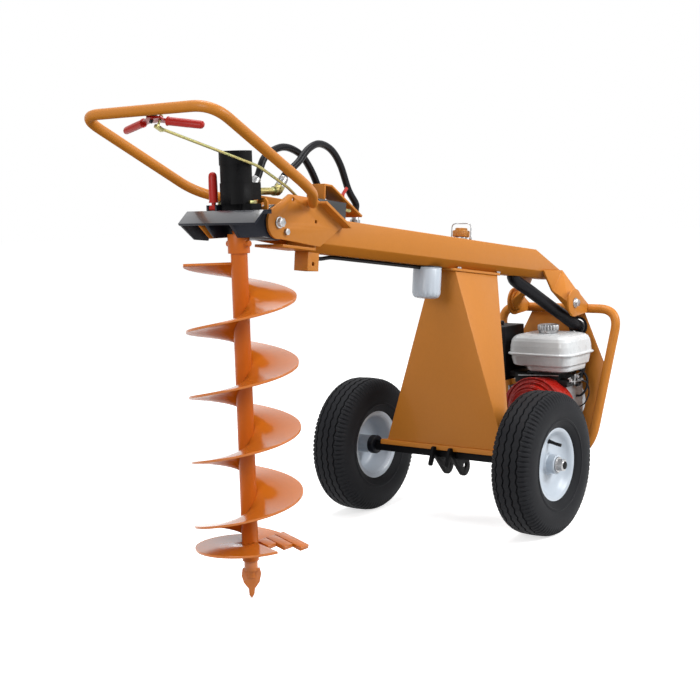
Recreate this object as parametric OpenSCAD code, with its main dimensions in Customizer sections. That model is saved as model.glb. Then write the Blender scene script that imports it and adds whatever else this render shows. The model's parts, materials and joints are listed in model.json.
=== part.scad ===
// Towable one-person hydraulic earth auger, all lengths in mm.
// X points to the engine end, Y to the far side, Z up; the ground is z = 0.
// Most pieces are placed from the wheel centre along the pitched chassis.

/* [Stance] */
// Outside diameter of the tyre
tyre_d = 467; // [440:1:490]
// Distance between the middles of the two tyres
track = 712; // [660:1:780]
// Front-up pitch of the chassis while it rests on the auger tip
pitch = 7; // [5:0.5:9]

/* [Wheels] */
// Width of the tyre
tyre_w = 140; // [125:1:155]
// Outside diameter of the rim flange
rim_d = 240; // [232:1:248]
// Diameter of the bead seat
seat_d = 204; // [198:1:210]
// Width over the rim flanges
rim_w = 104; // [95:1:112]
// Outside diameter of the wheel hub
hub_d = 62; // [54:1:72]
// Length of the wheel hub
hub_l = 112; // [100:1:124]
// Diameter of the axle
axle_d = 25; // [20:1:28]
// Side of the square axle tube
axle_tube = 34; // [30:1:40]
// Length of the square axle tube
axle_tube_l = 590; // [560:2:596]

/* [Boom] */
// Underside of the boom above the wheel centre
boom_base = 619; // [590:1:650]
// Height of the boom
boom_h = 101; // [90:1:115]
// Width of the boom
boom_w = 104; // [96:1:112]
// Size of the bevel along each lower edge
boom_bevel = 26; // [20:1:32]
// Front end of the boom
boom_front = -835; // [-870:1:-820]
// Where the top starts to fall to the rear
boom_break = 440; // [400:1:480]
// Rear end of the boom
boom_end = 628; // [600:1:640]
// Wall of the boom
boom_wall = 6; // [4:0.5:9]

/* [Tower] */
// Front of the tower at the top
tower_front = -88; // [-100:1:-75]
// Rear of the tower at the top
tower_rear = 183; // [165:1:200]
// Width of the tower at the top
tower_top_w = 94; // [80:1:100]
// Width of the tower at the bottom
tower_foot_w = 470; // [430:2:500]
// Wall of the tower
tower_wall = 5; // [3:0.5:8]
// Thickness of the saddle and base plates
plate_t = 8; // [6:0.5:12]

/* [Front fork] */
// Head pivot along the chassis
pivot_x = -1011; // [-1030:1:-995]
// Head pivot above the wheel centre
pivot_z = 687; // [670:1:705]
// Thickness of the side plates
side_t = 8; // [6:0.5:10]
// Radius of the rounded front of the side plates
side_r = 46; // [40:1:52]
// Diameter of the pivot bolt
pivot_d = 20; // [16:1:24]
// Side of the square stake pocket
pocket = 50; // [44:1:58]
// Wall of the stake pocket
pocket_wall = 5; // [3:0.5:7]
// Depth of the stake pocket below the boom
pocket_h = 53; // [45:1:65]
// Diameter of the cross hole in the stake pocket
pocket_pin_d = 12; // [8:0.5:16]

/* [Handle] */
// Diameter of the handle tube
handle_d = 28; // [25:1:32]
// Cross bar along the chassis
bar_x = -1476; // [-1500:1:-1450]
// Cross bar above the wheel centre
bar_z = 923; // [900:1:945]
// Distance between the two handle legs
handle_w = 466; // [440:2:480]
// Distance between the legs at the knees
knee_w = 412; // [396:2:430]
// Fall of the handle legs to the rear
handle_fall = 20.4; // [18:0.2:23]
// Length of the straight handle legs
handle_leg = 454; // [440:1:470]

/* [Head] */
// Distance from the head pivot to the auger axis
head_reach = 101; // [95:1:115]
// Diameter of the pivot drum
drum_d = 98; // [90:1:102]
// Width of the front hood
hood_w = 276; // [260:2:300]
// Height of the motor seat above the pivot
seat_z = 37; // [32:1:42]
// Diameter of the hydraulic motor
motor_d = 90; // [80:1:96]
// Height of the hydraulic motor
motor_h = 158; // [145:1:170]

/* [Auger] */
// Diameter of the auger flight
flight_d = 305; // [280:1:320]
// Rise of the flight in one turn
flight_pitch = 180; // [165:1:195]
// Thickness of the flight
flight_t = 7; // [5:0.5:9]
// Outside diameter of the auger tube
auger_tube_d = 46; // [42:1:50]
// Height of the flight's lower edge above the ground
flight_low = 143; // [136:1:150]
// Turns of the flight
flight_turns = 4.39; // [4.2:0.01:4.45]

/* [Engine frame] */
// Plane of the rear hoop along the chassis
hoop_x = 725; // [715:1:740]
// Diameter of the hoop tube
hoop_d = 34; // [30:1:38]
// Height of the hoop's top bar above the wheel centre
hoop_top = 519; // [505:1:535]
// Half width of the hoop at its top corners
hoop_half = 252; // [235:1:265]
// Half distance between the frame bolts
ear_half = 122; // [116:1:128]
// Frame bolt along the chassis
ear_x = 610; // [600:1:620]
// Frame bolt above the wheel centre
ear_z = 536; // [530:1:545]
// Height of the engine deck above the ground
deck_h = 208; // [204:1:214]
// Tank middle behind the wheel centre
engine_x0 = 633; // [626:1:638]
// Offset of the engine to the near side
engine_y = -47; // [-55:1:-40]
// Length of the fuel tank along the machine
tank_l = 236; // [220:1:240]
// Width of the fuel tank
tank_w = 266; // [250:1:280]
// Height of the fuel tank
tank_h = 140; // [132:1:144]

/* [Fits] */
// Radial gap of a running shaft
run_gap = 0.05; // [0.02:0.01:0.1]
// Side gap between moving pieces
side_gap = 0.5; // [0.3:0.1:1]

/* [Hidden] */
$fn = 40;
// stance
axle_h = tyre_d / 2;
boom_top = boom_base + boom_h;
boom_half = boom_w / 2;
boom_end_z = boom_base + 38;
tube_half = axle_tube / 2;
pivot_rise = axle_h - pivot_x * sin(pitch) + pivot_z * cos(pitch);
pump_rear = 912;
bar_front = bar_x * cos(pitch) + bar_z * sin(pitch) - handle_d / 2;
x_mid = -(bar_front + pump_rear) / 2;
pivot_wx = x_mid + pivot_x * cos(pitch) + pivot_z * sin(pitch);
auger_x = pivot_wx - head_reach;
engine_x = x_mid + engine_x0;
// wheels
bead_w = rim_w - 16;
wheel_y = track / 2;
axle_end = wheel_y + hub_l / 2 + side_gap + 26;
// tower
tower_z0 = tube_half + plate_t;
tower_z1 = boom_base - plate_t;
foot_front = -tube_half - 17;
foot_rear = 6;
lip_front = foot_front - 4;
lug_hole = [45, -42];
lug_hole_d = 20.5;
lug_y = 33;
lug_tip = [-62, -37];
lug_t = 10;
// front fork
side_in = boom_half;
side_out = boom_half + side_t;
pocket_x = -811;
flange_out = 28;
// handle plane
leg_x = handle_leg * cos(handle_fall);
leg_z = handle_leg * sin(handle_fall);
foot = [-880, side_out + handle_d / 2 - 4, 752];
handle_half = handle_w / 2;
// head
auger_top = 960 - 1039;
seat_plate = 12;
shaft_d = 32;
flight_r = flight_d / 2;
tube_r = auger_tube_d / 2;
lead_start = 42;
lead_pitch = 35;
pilot_h = 107;
// control
lever_pivot = [34, 0];
lever_low = -9;
lever_sweep = 18;
spool_y = -40;
spool_z = boom_top + 32;
spool_d = 12;
valve_x0 = boom_front + 5;
valve_x1 = -700;
valve_h = 52;
// rear frame
rear_t = 8;
rear_face = hoop_x - rear_t / 2;
crank_z = 106;
bell_d = 150;
rail = 34;
rail_y = 140;
rail_end = hoop_x - hoop_d / 2;

// Chassis point to the ground frame
function ground(p) = [
    x_mid + p[0] * cos(pitch) + p[2] * sin(pitch),
    p[1],
    axle_h - p[0] * sin(pitch) + p[2] * cos(pitch)
];
function flipped(p) = [for (i = [len(p) - 1:-1:0]) p[i]];
// Closed outline from one edge, mirrored in the first or second coordinate
function both_edges(p) = concat(p, [for (q = flipped(p)) [-q[0], q[1]]]);
function both_faces(p) = concat(p, [for (q = flipped(p)) [q[0], -q[1]]]);
function unit(v) = v / norm(v);
function heading(p, i) = unit(p[min(i + 1, len(p) - 1)] - p[max(i - 1, 0)]);
function ring(p, i, r, up, n) = let (t = heading(p, i), a = unit(cross(t, up)), b = cross(t, a))
    [for (k = [0:n - 1]) p[i] + r * (cos(360 * k / n) * a + sin(360 * k / n) * b)];
// Rounded corner b of a route from a to c, starting r before it
function corner(a, b, c, r, n) = let (s = b + r * unit(a - b), e = b + r * unit(c - b))
    [for (k = [0:n]) let (f = k / n) (1 - f) * (1 - f) * s + 2 * f * (1 - f) * b + f * f * e];
function curve(a, b, c, d, f) = 0.5 * (2 * b + (c - a) * f + (2 * a - 5 * b + 4 * c - d) * f * f
    + (3 * b - a - 3 * c + d) * f * f * f);
// Smooth route through the points p, with n steps between neighbours
function spline(p, n) = concat([
    for (i = [0:len(p) - 2], k = [0:n - 1])
        curve(p[max(i - 1, 0)], p[i], p[i + 1], p[min(i + 2, len(p) - 1)], k / n)
], [p[len(p) - 1]]);

module sweep(p, r, up, n) {
    m = len(p);
    polyhedron(
        [for (i = [0:m - 1]) each ring(p, i, r, up, n)],
        concat(
            [[for (k = [0:n - 1]) k]],
            [for (i = [0:m - 2], k = [0:n - 1])
                [i * n + (k + 1) % n, i * n + k, (i + 1) * n + k, (i + 1) * n + (k + 1) % n]],
            [[for (k = [n - 1:-1:0]) (m - 1) * n + k]]
        )
    );
}

module on_chassis() translate([x_mid, 0, axle_h]) rotate([0, pitch, 0]) children();
module on_head() translate([auger_x, 0, pivot_rise]) children();
module on_deck() translate([engine_x, engine_y, deck_h]) children();
// Bent tube with a wall, open at both ends
module pipe(p, r, wall, up, n) {
    m = len(p);
    polyhedron(
        [for (q = [r, r - wall], i = [0:m - 1]) each ring(p, i, q, up, n)],
        concat(
            [for (i = [0:m - 2], k = [0:n - 1])
                [i * n + (k + 1) % n, i * n + k, (i + 1) * n + k, (i + 1) * n + (k + 1) % n]],
            [for (i = [0:m - 2], k = [0:n - 1]) let (o = m * n)
                [o + i * n + k, o + i * n + (k + 1) % n, o + (i + 1) * n + (k + 1) % n, o + (i + 1) * n + k]],
            [for (k = [0:n - 1]) let (o = m * n) [k, (k + 1) % n, o + (k + 1) % n, o + k]],
            [for (k = [0:n - 1]) let (e = (m - 1) * n, o = m * n + e)
                [e + (k + 1) % n, e + k, o + k, o + (k + 1) % n]]
        )
    );
}
module on_bar() on_chassis() translate([bar_x, 0, bar_z]) rotate([0, handle_fall, 0]) children();
// Outline in X and Z, drawn between two Y planes
module slab(y0, y1) translate([0, y1, 0]) rotate([90, 0, 0]) linear_extrude(y1 - y0) children();
// Outline in Y and Z, drawn between two X planes
module wall(x0, x1) translate([x0, 0, 0]) rotate([90, 0, 90]) linear_extrude(x1 - x0) children();
module rod_y(d, y0, y1) translate([0, y0, 0]) rotate([-90, 0, 0]) cylinder(d = d, h = y1 - y0);
module rod_x(d, x0, x1) translate([x0, 0, 0]) rotate([0, 90, 0]) cylinder(d = d, h = x1 - x0);
module hex_y(af, y0, y1) translate([0, y0, 0]) rotate([-90, 0, 0])
    cylinder(d = af / cos(30), h = y1 - y0, $fn = 6);
module hex_z(af, h) cylinder(d = af / cos(30), h = h, $fn = 6);
module block(a, b) translate(a) cube(b - a);
module both_sides() {
    children();
    mirror([0, 1, 0]) children();
}

// Axle

module axle_beam() color("black") on_chassis() {
    difference() {
        block([-tube_half, -axle_tube_l / 2, -tube_half], [tube_half, axle_tube_l / 2, tube_half]);
        rod_y(axle_d, -axle_tube_l, axle_tube_l);
    }
    rod_y(axle_d, -axle_end, axle_end);
}

module axle_nuts() color("silver") on_chassis() both_sides() {
    y0 = wheel_y + hub_l / 2 + side_gap;
    difference() {
        union() {
            rod_y(50, y0, y0 + 4);
            hex_y(36, y0 + 4, y0 + 22);
        }
        rod_y(axle_d, y0 - 1, y0 + 30);
    }
}

// Claw that hooks under the beam: a short tip in front and an eye for the tow pin behind
module lug_outline() difference() {
    union() {
        hull() {
            translate([-47, 8]) circle(12);
            translate(lug_hole + [-1, -4]) circle(32);
        }
        hull() {
            translate([-49, 4]) circle(10);
            translate(lug_tip) circle(8);
        }
    }
    translate([lip_front - 0.5, 7.5]) square([120, 40]);
    translate([-tube_half, -tube_half]) square(axle_tube);
    translate(lug_hole) circle(d = lug_hole_d);
}

module tow_lugs() color("black") on_chassis() both_sides()
    slab(lug_y - lug_t / 2, lug_y + lug_t / 2) lug_outline();

// Tower

module tower_body(s, z0, z1) intersection() {
    slab(-400, 400) polygon([
        [foot_front + s, z0], [foot_rear - s, z0], [tower_rear - s, z1], [tower_front + s, z1]
    ]);
    wall(-400, 400) polygon([
        [-tower_foot_w / 2 + s, z0], [tower_foot_w / 2 - s, z0],
        [tower_top_w / 2 - s, z1], [-tower_top_w / 2 + s, z1]
    ]);
}

module tower() color("orange") on_chassis() difference() {
    tower_body(0, tower_z0, tower_z1);
    tower_body(tower_wall, tower_z0 - 0.01, tower_z1 + 0.01);
}

module tower_base() color("orange") on_chassis()
    slab(-tower_foot_w / 2 - 26, tower_foot_w / 2 + 26) polygon([
        [lip_front, 8], [foot_front, 8], [foot_front, tube_half], [tube_half + 4, tube_half],
        [tube_half + 4, tower_z0], [lip_front, tower_z0]
    ]);

saddle_bolt_x = [tower_front + 26, tower_rear + 9];
saddle_bolt_y = 44;

module saddle() color("orange") on_chassis() difference() {
    translate([(tower_front + tower_rear) / 2, 0, tower_z1]) linear_extrude(plate_t)
        rounded(tower_rear - tower_front + 36, boom_w, 14);
    for (x = saddle_bolt_x, y = [-saddle_bolt_y, saddle_bolt_y])
        translate([x, y, tower_z1 - 1]) cylinder(d = 9, h = plate_t + 2);
}

// Boom

module boom_section(s) polygon([
    [-boom_half + s, boom_top - s], [boom_half - s, boom_top - s],
    [boom_half - s, boom_base + boom_bevel], [boom_half - boom_bevel - s / 2, boom_base + s],
    [-boom_half + boom_bevel + s / 2, boom_base + s], [-boom_half + s, boom_base + boom_bevel]
]);
module boom_side(s) polygon([
    [boom_front + s, boom_base - 1], [boom_front + s, boom_top + 1], [boom_break, boom_top + 1],
    [boom_break, boom_top - s], [boom_end - 2 * s, boom_end_z - s], [boom_end - 28 - 3 * s, boom_base - 1]
]);
module boom_body(s) intersection() {
    wall(boom_front - 1, boom_end + 1) boom_section(s);
    slab(-100, 100) boom_side(s);
}

module boom() color("orange") on_chassis() difference() {
    boom_body(0);
    boom_body(boom_wall);
}

bolt_d = 16;

module boom_legs() color("orange") on_chassis() both_sides() difference() {
    union() {
        slab(side_in, side_out) polygon([
            [boom_break + 48, boom_end_z - 10], [boom_end + 2, boom_end_z], [boom_end - 66, ear_z + 40]
        ]);
        hull() {
            slab(side_in, side_out) polygon([
                [boom_end + 2, boom_end_z], [boom_end - 66, ear_z + 40], [boom_end - 60, ear_z + 40]
            ]);
            slab(ear_half - side_t, ear_half) polygon([
                [ear_x + 62, ear_z + 26], [ear_x - 36, ear_z], [ear_x - 10, ear_z - 36]
            ]);
        }
        slab(ear_half - side_t, ear_half) union() {
            translate([ear_x, ear_z]) circle(r = 38);
            polygon([[ear_x + 62, ear_z + 26], [ear_x - 36, ear_z], [ear_x, ear_z - 38]]);
        }
    }
    translate([ear_x, 0, ear_z]) rod_y(bolt_d, 0, 200);
}

module frame_ears() color("orange") on_chassis() both_sides() difference() {
    slab(ear_half, ear_half + side_t) union() {
        translate([ear_x, ear_z]) circle(r = 51);
        polygon([
            [ear_x + 5, ear_z + 50.7], [hoop_x, hoop_top + 12], [hoop_x, hoop_top - 12], [ear_x, ear_z - 51]
        ]);
    }
    translate([ear_x, 0, ear_z]) rod_y(bolt_d, 0, 200);
    translate([hoop_x, 0, hoop_top]) rod_y(hoop_d, 0, 200);
}

module frame_bolts() color("silver") on_chassis() both_sides() {
    translate([ear_x, 0, ear_z]) {
        rod_y(bolt_d, ear_half - side_t, ear_half + side_t);
        rod_y(36, ear_half + side_t, ear_half + side_t + 3);
        hex_y(24, ear_half + side_t + 3, ear_half + side_t + 14);
    }
    translate([pivot_x + 31, side_out, pivot_z - 23]) hex_y(17, 0, 8);
    for (x = saddle_bolt_x) translate([x, saddle_bolt_y, tower_z1]) {
        cylinder(d = 9, h = plate_t);
        translate([0, 0, plate_t]) hex_z(13, 6);
    }
}

// Rear frame

hoop_low = [158, -45];
hoop_route = let (a = [hoop_half, hoop_top], b = hoop_low, c = [-b[0], b[1]], d = [-a[0], a[1]])
    concat([[0, a[1]]], corner([0, a[1]], a, b, 80, 5), corner(a, b, c, 130, 6), [[0, b[1]]]);

module rear_hoop() color("orange") on_chassis() difference() {
    both_sides() sweep([for (q = hoop_route) [hoop_x, q[0], q[1]]], hoop_d / 2, [1, 0, 0], 16);
    both_sides() sweep([for (q = hoop_route) [hoop_x, q[0], q[1]]], hoop_d / 2 - 4, [1, 0, 0], 16);
}

function hoop_side(z) = hoop_low[0] + (hoop_half - hoop_low[0]) * (z - hoop_low[1]) / (hoop_top - hoop_low[1])
    - hoop_d / 2;
hose_hole = [90, 450, 68];

module rear_plate() color("orange") difference() {
    on_chassis() difference() {
        wall(rear_face, rear_face + rear_t) polygon(both_edges([
            [112, hoop_top - hoop_d / 2], [hoop_side(318), 318], [hoop_side(90), 90], [rail_y, -tube_half]
        ]));
        translate([0, -hose_hole[0], hose_hole[1]]) rod_x(hose_hole[2], hoop_x - 50, hoop_x + 50);
    }
    on_deck() translate([0, 0, crank_z]) rod_x(bell_d + 24, 40, 250);
}

module plate_grommet() color("black") on_chassis() translate([0, -hose_hole[0], hose_hole[1]]) difference() {
    union() {
        rod_x(hose_hole[2], rear_face - 5, rear_face + rear_t + 3);
        rod_x(hose_hole[2] + 8, rear_face - 5, rear_face);
    }
    rod_x(hose_hole[2] - 10, rear_face - 10, rear_face + 30);
}

deck_front = 400;
deck_t = 6;

module engine_deck() color("black") {
    on_chassis() both_sides() difference() {
        block([tube_half, rail_y - rail, -tube_half], [rail_end, rail_y, -tube_half + rail]);
        block([tube_half + 4, rail_y - rail + 4, -tube_half + 4],
            [rail_end - 4, rail_y - 4, -tube_half + rail - 4]);
    }
    translate([x_mid, 0, deck_h]) block([deck_front, -rail_y, -deck_t], [rear_face - 6, rail_y, 0]);
    intersection() {
        translate([x_mid, 0, deck_h]) both_sides()
            block([deck_front, rail_y - 8, -120], [rear_face - 6, rail_y, -deck_t]);
        on_chassis() block([tube_half, -rail_y, -tube_half + rail], [rear_face, rail_y, 200]);
    }
}

// Front fork

module side_outline() difference() {
    union() {
        translate([pivot_x, pivot_z]) circle(r = side_r);
        polygon([
            [pivot_x - 30, pivot_z + 34], [pivot_x + 41, pivot_z + 82], [pivot_x + 161, pivot_z + 81],
            [pivot_x + 297, pivot_z + 14], [pivot_x + 266, pivot_z + 1], [pivot_x + 184, pivot_z - 53],
            [pivot_x - 16, pivot_z - 43]
        ]);
    }
    translate([pivot_x, pivot_z]) circle(d = pivot_d);
    translate([pivot_x + 57, pivot_z + 69]) circle(d = 11);
    translate([pivot_x + 161, pivot_z + 16]) circle(d = 11);
}

module side_plate(out) {
    slab(side_in, side_out) side_outline();
    translate([pivot_x + 161, side_out, pivot_z + 81]) rotate([0, atan2(67, 136), 0])
        block([12, 0, -side_t], [148, out, 0]);
}

module side_plates() color("orange") on_chassis() both_sides() side_plate(flange_out);

module fork_floor() color("orange") on_chassis() {
    block([pivot_x + 30, -side_in, boom_base + 3], [boom_front, side_in, boom_base + 11]);
    block([boom_front - 8, -side_in, boom_base + 11], [boom_front, side_in, boom_top]);
}

module pivot_bolt() color("silver") on_chassis() translate([pivot_x, 0, pivot_z]) {
    rod_y(pivot_d, -side_out - 4, side_out + 4);
    rod_y(32, -side_out - 4, -side_out);
    hex_y(24, -side_out - 14, -side_out - 4);
    rod_y(32, side_out, side_out + 4);
    hex_y(24, side_out + 4, side_out + 18);
}

module stake_pocket() color("orange") on_chassis() translate([pocket_x, 0, boom_base - pocket_h]) {
    difference() {
        block([-pocket / 2, -pocket / 2, 0], [pocket / 2, pocket / 2, pocket_h]);
        block([-pocket / 2 + pocket_wall, -pocket / 2 + pocket_wall, -1],
            [pocket / 2 - pocket_wall, pocket / 2 - pocket_wall, pocket_h + 1]);
        translate([0, 0, 20]) rod_y(pocket_pin_d, -pocket, pocket);
    }
}

// Handle and control

handle_route = let (
    a = [bar_x + leg_x, knee_w / 2, bar_z - leg_z], b = [bar_x, handle_half, bar_z], m = [bar_x, 0, bar_z]
) concat([foot], corner(foot, a, b, 80, 5), corner(a, b, m, 70, 5), [m]);

handle_up = [sin(handle_fall), 0, cos(handle_fall)];

handle_loop = let (m = len(handle_route))
    concat(handle_route, [for (i = [m - 2:-1:0]) let (q = handle_route[i]) [q[0], -q[1], q[2]]]);

module handle() color("orange") on_chassis() pipe(handle_loop, handle_d / 2, 3, handle_up, 16);

module lever_bracket() color("black") on_bar() difference() {
    union() {
        block([0, -16, lever_low + 8], [lever_pivot[0] + 12, 16, lever_low + 13]);
        translate([lever_pivot[0], 0, lever_low - 7]) cylinder(d = 9, h = 16);
    }
    rod_y(handle_d, -40, 40);
}

clevis = [lever_pivot[0], -30];

module control_lever() color("red") on_bar() translate([0, 0, lever_low]) linear_extrude(6)
difference() {
    union() {
        translate(lever_pivot) circle(d = 30);
        for (s = [-1, 1]) translate(lever_pivot) rotate(s * (90 - lever_sweep))
            translate([0, -8]) square([142, 16]);
        translate(lever_pivot) rotate(atan2(clevis[1], clevis[0] - lever_pivot[0]))
            translate([0, -9]) square([norm(clevis - lever_pivot) + 9, 18]);
    }
    translate(lever_pivot) circle(d = 9 + 2 * run_gap);
    translate(clevis) circle(d = 9);
}

module lever_grips() color("red") on_bar() translate([lever_pivot[0], 0, lever_low + 3])
    for (s = [-1, 1]) rotate([0, 0, s * (90 - lever_sweep)]) difference() {
        rod_x(19, 44, 146);
        block([40, -8, -3], [142, 8, 3]);
    }

function on_bar_point(p) = [
    bar_x + p[0] * cos(handle_fall) + p[2] * sin(handle_fall),
    p[1],
    bar_z - p[0] * sin(handle_fall) + p[2] * cos(handle_fall)
];
rod_d = 8;
rod_start = on_bar_point([clevis[0] + 2, clevis[1], lever_low - 21]);
rod_bend = [-1098, -53.5, 830];
rod_low = [-972, -52, 788];
spool_front = [-885, spool_y, spool_z];

module control_rod() color("gold") {
    on_chassis() {
        sweep(concat([rod_start], corner(rod_start, rod_bend, rod_low, 20, 3),
            corner(rod_bend, rod_low, spool_front, 20, 3), [spool_front]), rod_d / 2, [0, 1, 0], 10);
        translate([0, spool_y, spool_z]) rod_x(spool_d, spool_front[0], valve_x1 + 30);
    }
    on_bar() translate([clevis[0], clevis[1], lever_low - 23]) cylinder(d = 6, h = 32);
}

module valve_body() color("dimgray") on_chassis() difference() {
    block([valve_x0, spool_y - 10, boom_top], [valve_x1, 26, boom_top + valve_h]);
    translate([0, spool_y, spool_z]) rod_x(spool_d + 2 * run_gap, valve_x0 - 10, valve_x1 + 10);
}

cover_front = -765;
cover_back = -612;
cover_h = 98;
cover_t = 6;
cover_fall = (cover_h - 24) / (cover_back - cover_front);

module valve_cover() color("orange") on_chassis() slab(spool_y - 6, 20) polygon([
    [cover_front - 35, boom_top + cover_h], [cover_front, boom_top + cover_h], [cover_back, boom_top + 24],
    [cover_back - 3, boom_top + 18], [cover_front - 2, boom_top + cover_h - cover_t],
    [cover_front - 29, boom_top + cover_h - cover_t], [cover_front - 29, boom_top + valve_h],
    [cover_front - 35, boom_top + valve_h]
]);

detent_x = -698;
detent_d = 12;
detent_z = boom_top + cover_h - cover_fall * (detent_x - cover_front)
    + (detent_d / 2 + 0.3) * sqrt(1 + cover_fall * cover_fall);

module detent_lever() color("red") on_chassis() translate([detent_x, -30, detent_z]) {
    rod_y(detent_d, -6, 6);
    rotate([0, 40, 0]) cylinder(d = 10, h = 34);
}

// Hydraulics

port_x = -588;

port_h = 40;
feed_end = [-712, 38, boom_top + port_h];

module hose_ports() color("silver") on_chassis() {
    translate([port_x, 0, boom_top]) {
        hex_z(27, 14);
        cylinder(d = 22, h = port_h - 0.3);
    }
    translate([feed_end[0], 26, boom_top + 16]) {
        rod_y(18, 0, feed_end[1] - 26);
        translate([0, feed_end[1] - 26, -10]) cylinder(d = 22, h = port_h - 6.3);
    }
}

fit_feed = [78, 22, 86];
fit_return = [150, -16, 86];
lean = 40;
ferrule_l = 44;
function ferrule_tip(f, l) = [auger_x + f[0] + l * sin(lean), f[1], pivot_rise + f[2] + l * cos(lean)];
feed_via = [
    [-982, 26, 874], [-906, 31, 911], [-830, 34, 906], [-775, 37, 874], [-728, 38, 820],
    [feed_end[0], feed_end[1], feed_end[2] + 14]
];
return_via = [
    [-888, -15, 868], [-842, -13, 912], [-787, -8, 935], [-725, -4, 926], [-674, -1, 888], [-628, 0, 820],
    [port_x - 2, 0, boom_top + port_h + 24]
];
return_end = [port_x, 0, boom_top + port_h];
hose_d = 21;

// Smooth hose from a head fitting over chassis points to a port on the boom
module head_hose(f, via, end) sweep(concat([ferrule_tip(f, ferrule_l)], spline(concat(
    [ferrule_tip(f, ferrule_l + 4), ferrule_tip(f, ferrule_l + 16)], [for (q = via) ground(q)],
    [ground(end + [0, 0, 8])]
), 2), [ground(end)]), hose_d / 2, [0, 1, 0], 10);

module hose_feed() color("black") head_hose(fit_feed, feed_via, feed_end);
module hose_return() color("black") head_hose(fit_return, return_via, return_end);

filter_x = -185;
filter_d = 93;
filter_h = 103;
head_h = 4;
line_d = 12;
line_z = boom_base - line_d / 2 - 0.4;

module underside_hose() color("black") on_chassis() sweep([
    [-772, 0, boom_base], [-772, 0, boom_base - 4], [-769, 0, boom_base - 10], [-758, 0, boom_base - 14],
    [-740, 0, boom_base - 13], [-712, 0, line_z - 2], [-680, 0, line_z], [-560, 0, line_z],
    [-400, 0, line_z], [filter_x - filter_d / 2 - 2, 0, line_z]
], line_d / 2, [0, 1, 0], 10);

suction_route = [
    [372, 0, boom_base], [372, 0, boom_base - 3], [380, -2, 605], [400, -8, 594], [450, -23, 572],
    [540, -49, 528], [620, -72, 490], [680, -87, 462], [hoop_x, -hose_hole[0], hose_hole[1]], [765, -88, 438],
    [798, -78, 410], [815, -62, 360], [821, -42, 300], [822, -30, 262], [822, -27, 250], [822, -27, 242]
];

module suction_hose() color("black") on_chassis() sweep(suction_route, 23, [0, 1, 0], 12);

module filter_head() color("dimgray") on_chassis() translate([filter_x, 0, boom_base - head_h])
    cylinder(d = filter_d + 4, h = head_h);

module oil_filter() color("white") on_chassis() translate([filter_x, 0, boom_base - head_h - filter_h]) {
    translate([0, 0, 6]) cylinder(d = filter_d, h = filter_h - 6);
    cylinder(d1 = filter_d - 10, d2 = filter_d, h = 6);
}

neck_x = 10;
cap_d = 58;
cap_z = boom_top + 10;

module filler_neck() color("silver") on_chassis() translate([neck_x, 0, boom_top])
    cylinder(d = 44, h = cap_z - boom_top);
module filler_cap() color("orange") on_chassis() translate([neck_x, 0, cap_z + 0.3]) {
    cylinder(d = cap_d, h = 22);
    translate([0, 0, 22]) cylinder(d = cap_d - 16, h = 8);
}

bail_half = cap_d / 2 + 9;
bail_top = cap_z + 46;

module cap_bail() color("silver") on_chassis() translate([neck_x, 0, 0]) both_sides() {
    sweep(concat([[0, bail_half, boom_top + 5]],
        corner([0, bail_half, boom_top], [0, bail_half, bail_top], [0, 0, bail_top], 16, 4),
        [[0, 0, bail_top]]), 2, [1, 0, 0], 8);
    translate([0, bail_half, boom_top + 5]) rod_y(9, -3, 3);
}

// Wheels

module turned(y) on_chassis() translate([0, y, 0]) rotate([-90, 0, 0]) rotate_extrude($fn = 60) children();

tyre_out = [
    [seat_d / 2, bead_w / 2], [rim_d / 2, bead_w / 2 + 2], [rim_d / 2 + 28, tyre_w / 2 - 4],
    [rim_d / 2 + 58, tyre_w / 2], [tyre_d / 2 - 28, tyre_w / 2 - 3], [tyre_d / 2 - 8, tyre_w / 2 - 18],
    [tyre_d / 2, tyre_w / 2 - 38]
];
tyre_in = [
    [seat_d / 2 + 8, bead_w / 2 - 12], [rim_d / 2, bead_w / 2 - 12], [rim_d / 2 + 40, tyre_w / 2 - 14],
    [tyre_d / 2 - 40, tyre_w / 2 - 14], [tyre_d / 2 - 18, tyre_w / 2 - 38]
];

module tyre(y) color("black") turned(y) difference() {
    polygon(both_faces(tyre_out));
    polygon(both_faces(tyre_in));
}
module rim(y, s) color("white") turned(y) difference() {
    translate([hub_d / 2, -rim_w / 2]) square([(rim_d - hub_d) / 2, rim_w]);
    translate([seat_d / 2, -rim_w / 2 + 6]) square([rim_d, rim_w - 12]);
    scale([1, s]) {
        translate([0, 34]) square([seat_d / 2 - 6, rim_w]);
        translate([0, 24]) square([seat_d / 2 - 26, rim_w]);
        translate([0, -rim_w]) square([seat_d / 2 - 6, rim_w + 18]);
        translate([seat_d / 2 - 22, -rim_w]) square([16, rim_w + 28]);
    }
}
module hub(y) color("black") on_chassis() translate([0, y, 0]) difference() {
    rod_y(hub_d, -hub_l / 2, hub_l / 2);
    rod_y(axle_d + 2 * run_gap, -hub_l, hub_l);
}
module wheel_near() rim(-wheel_y, -1);
module tyre_near() tyre(-wheel_y);
module hub_near() hub(-wheel_y);
module wheel_far() rim(wheel_y, 1);
module tyre_far() tyre(wheel_y);
module hub_far() hub(wheel_y);

// Drilling head

drum_half = side_in - side_gap;
hood_front = -89;
arm_in = 38;
arm_t = 12;
latch = [-30, 58];
motor_bolt = 57;
motor_bolt_d = 12;

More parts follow.
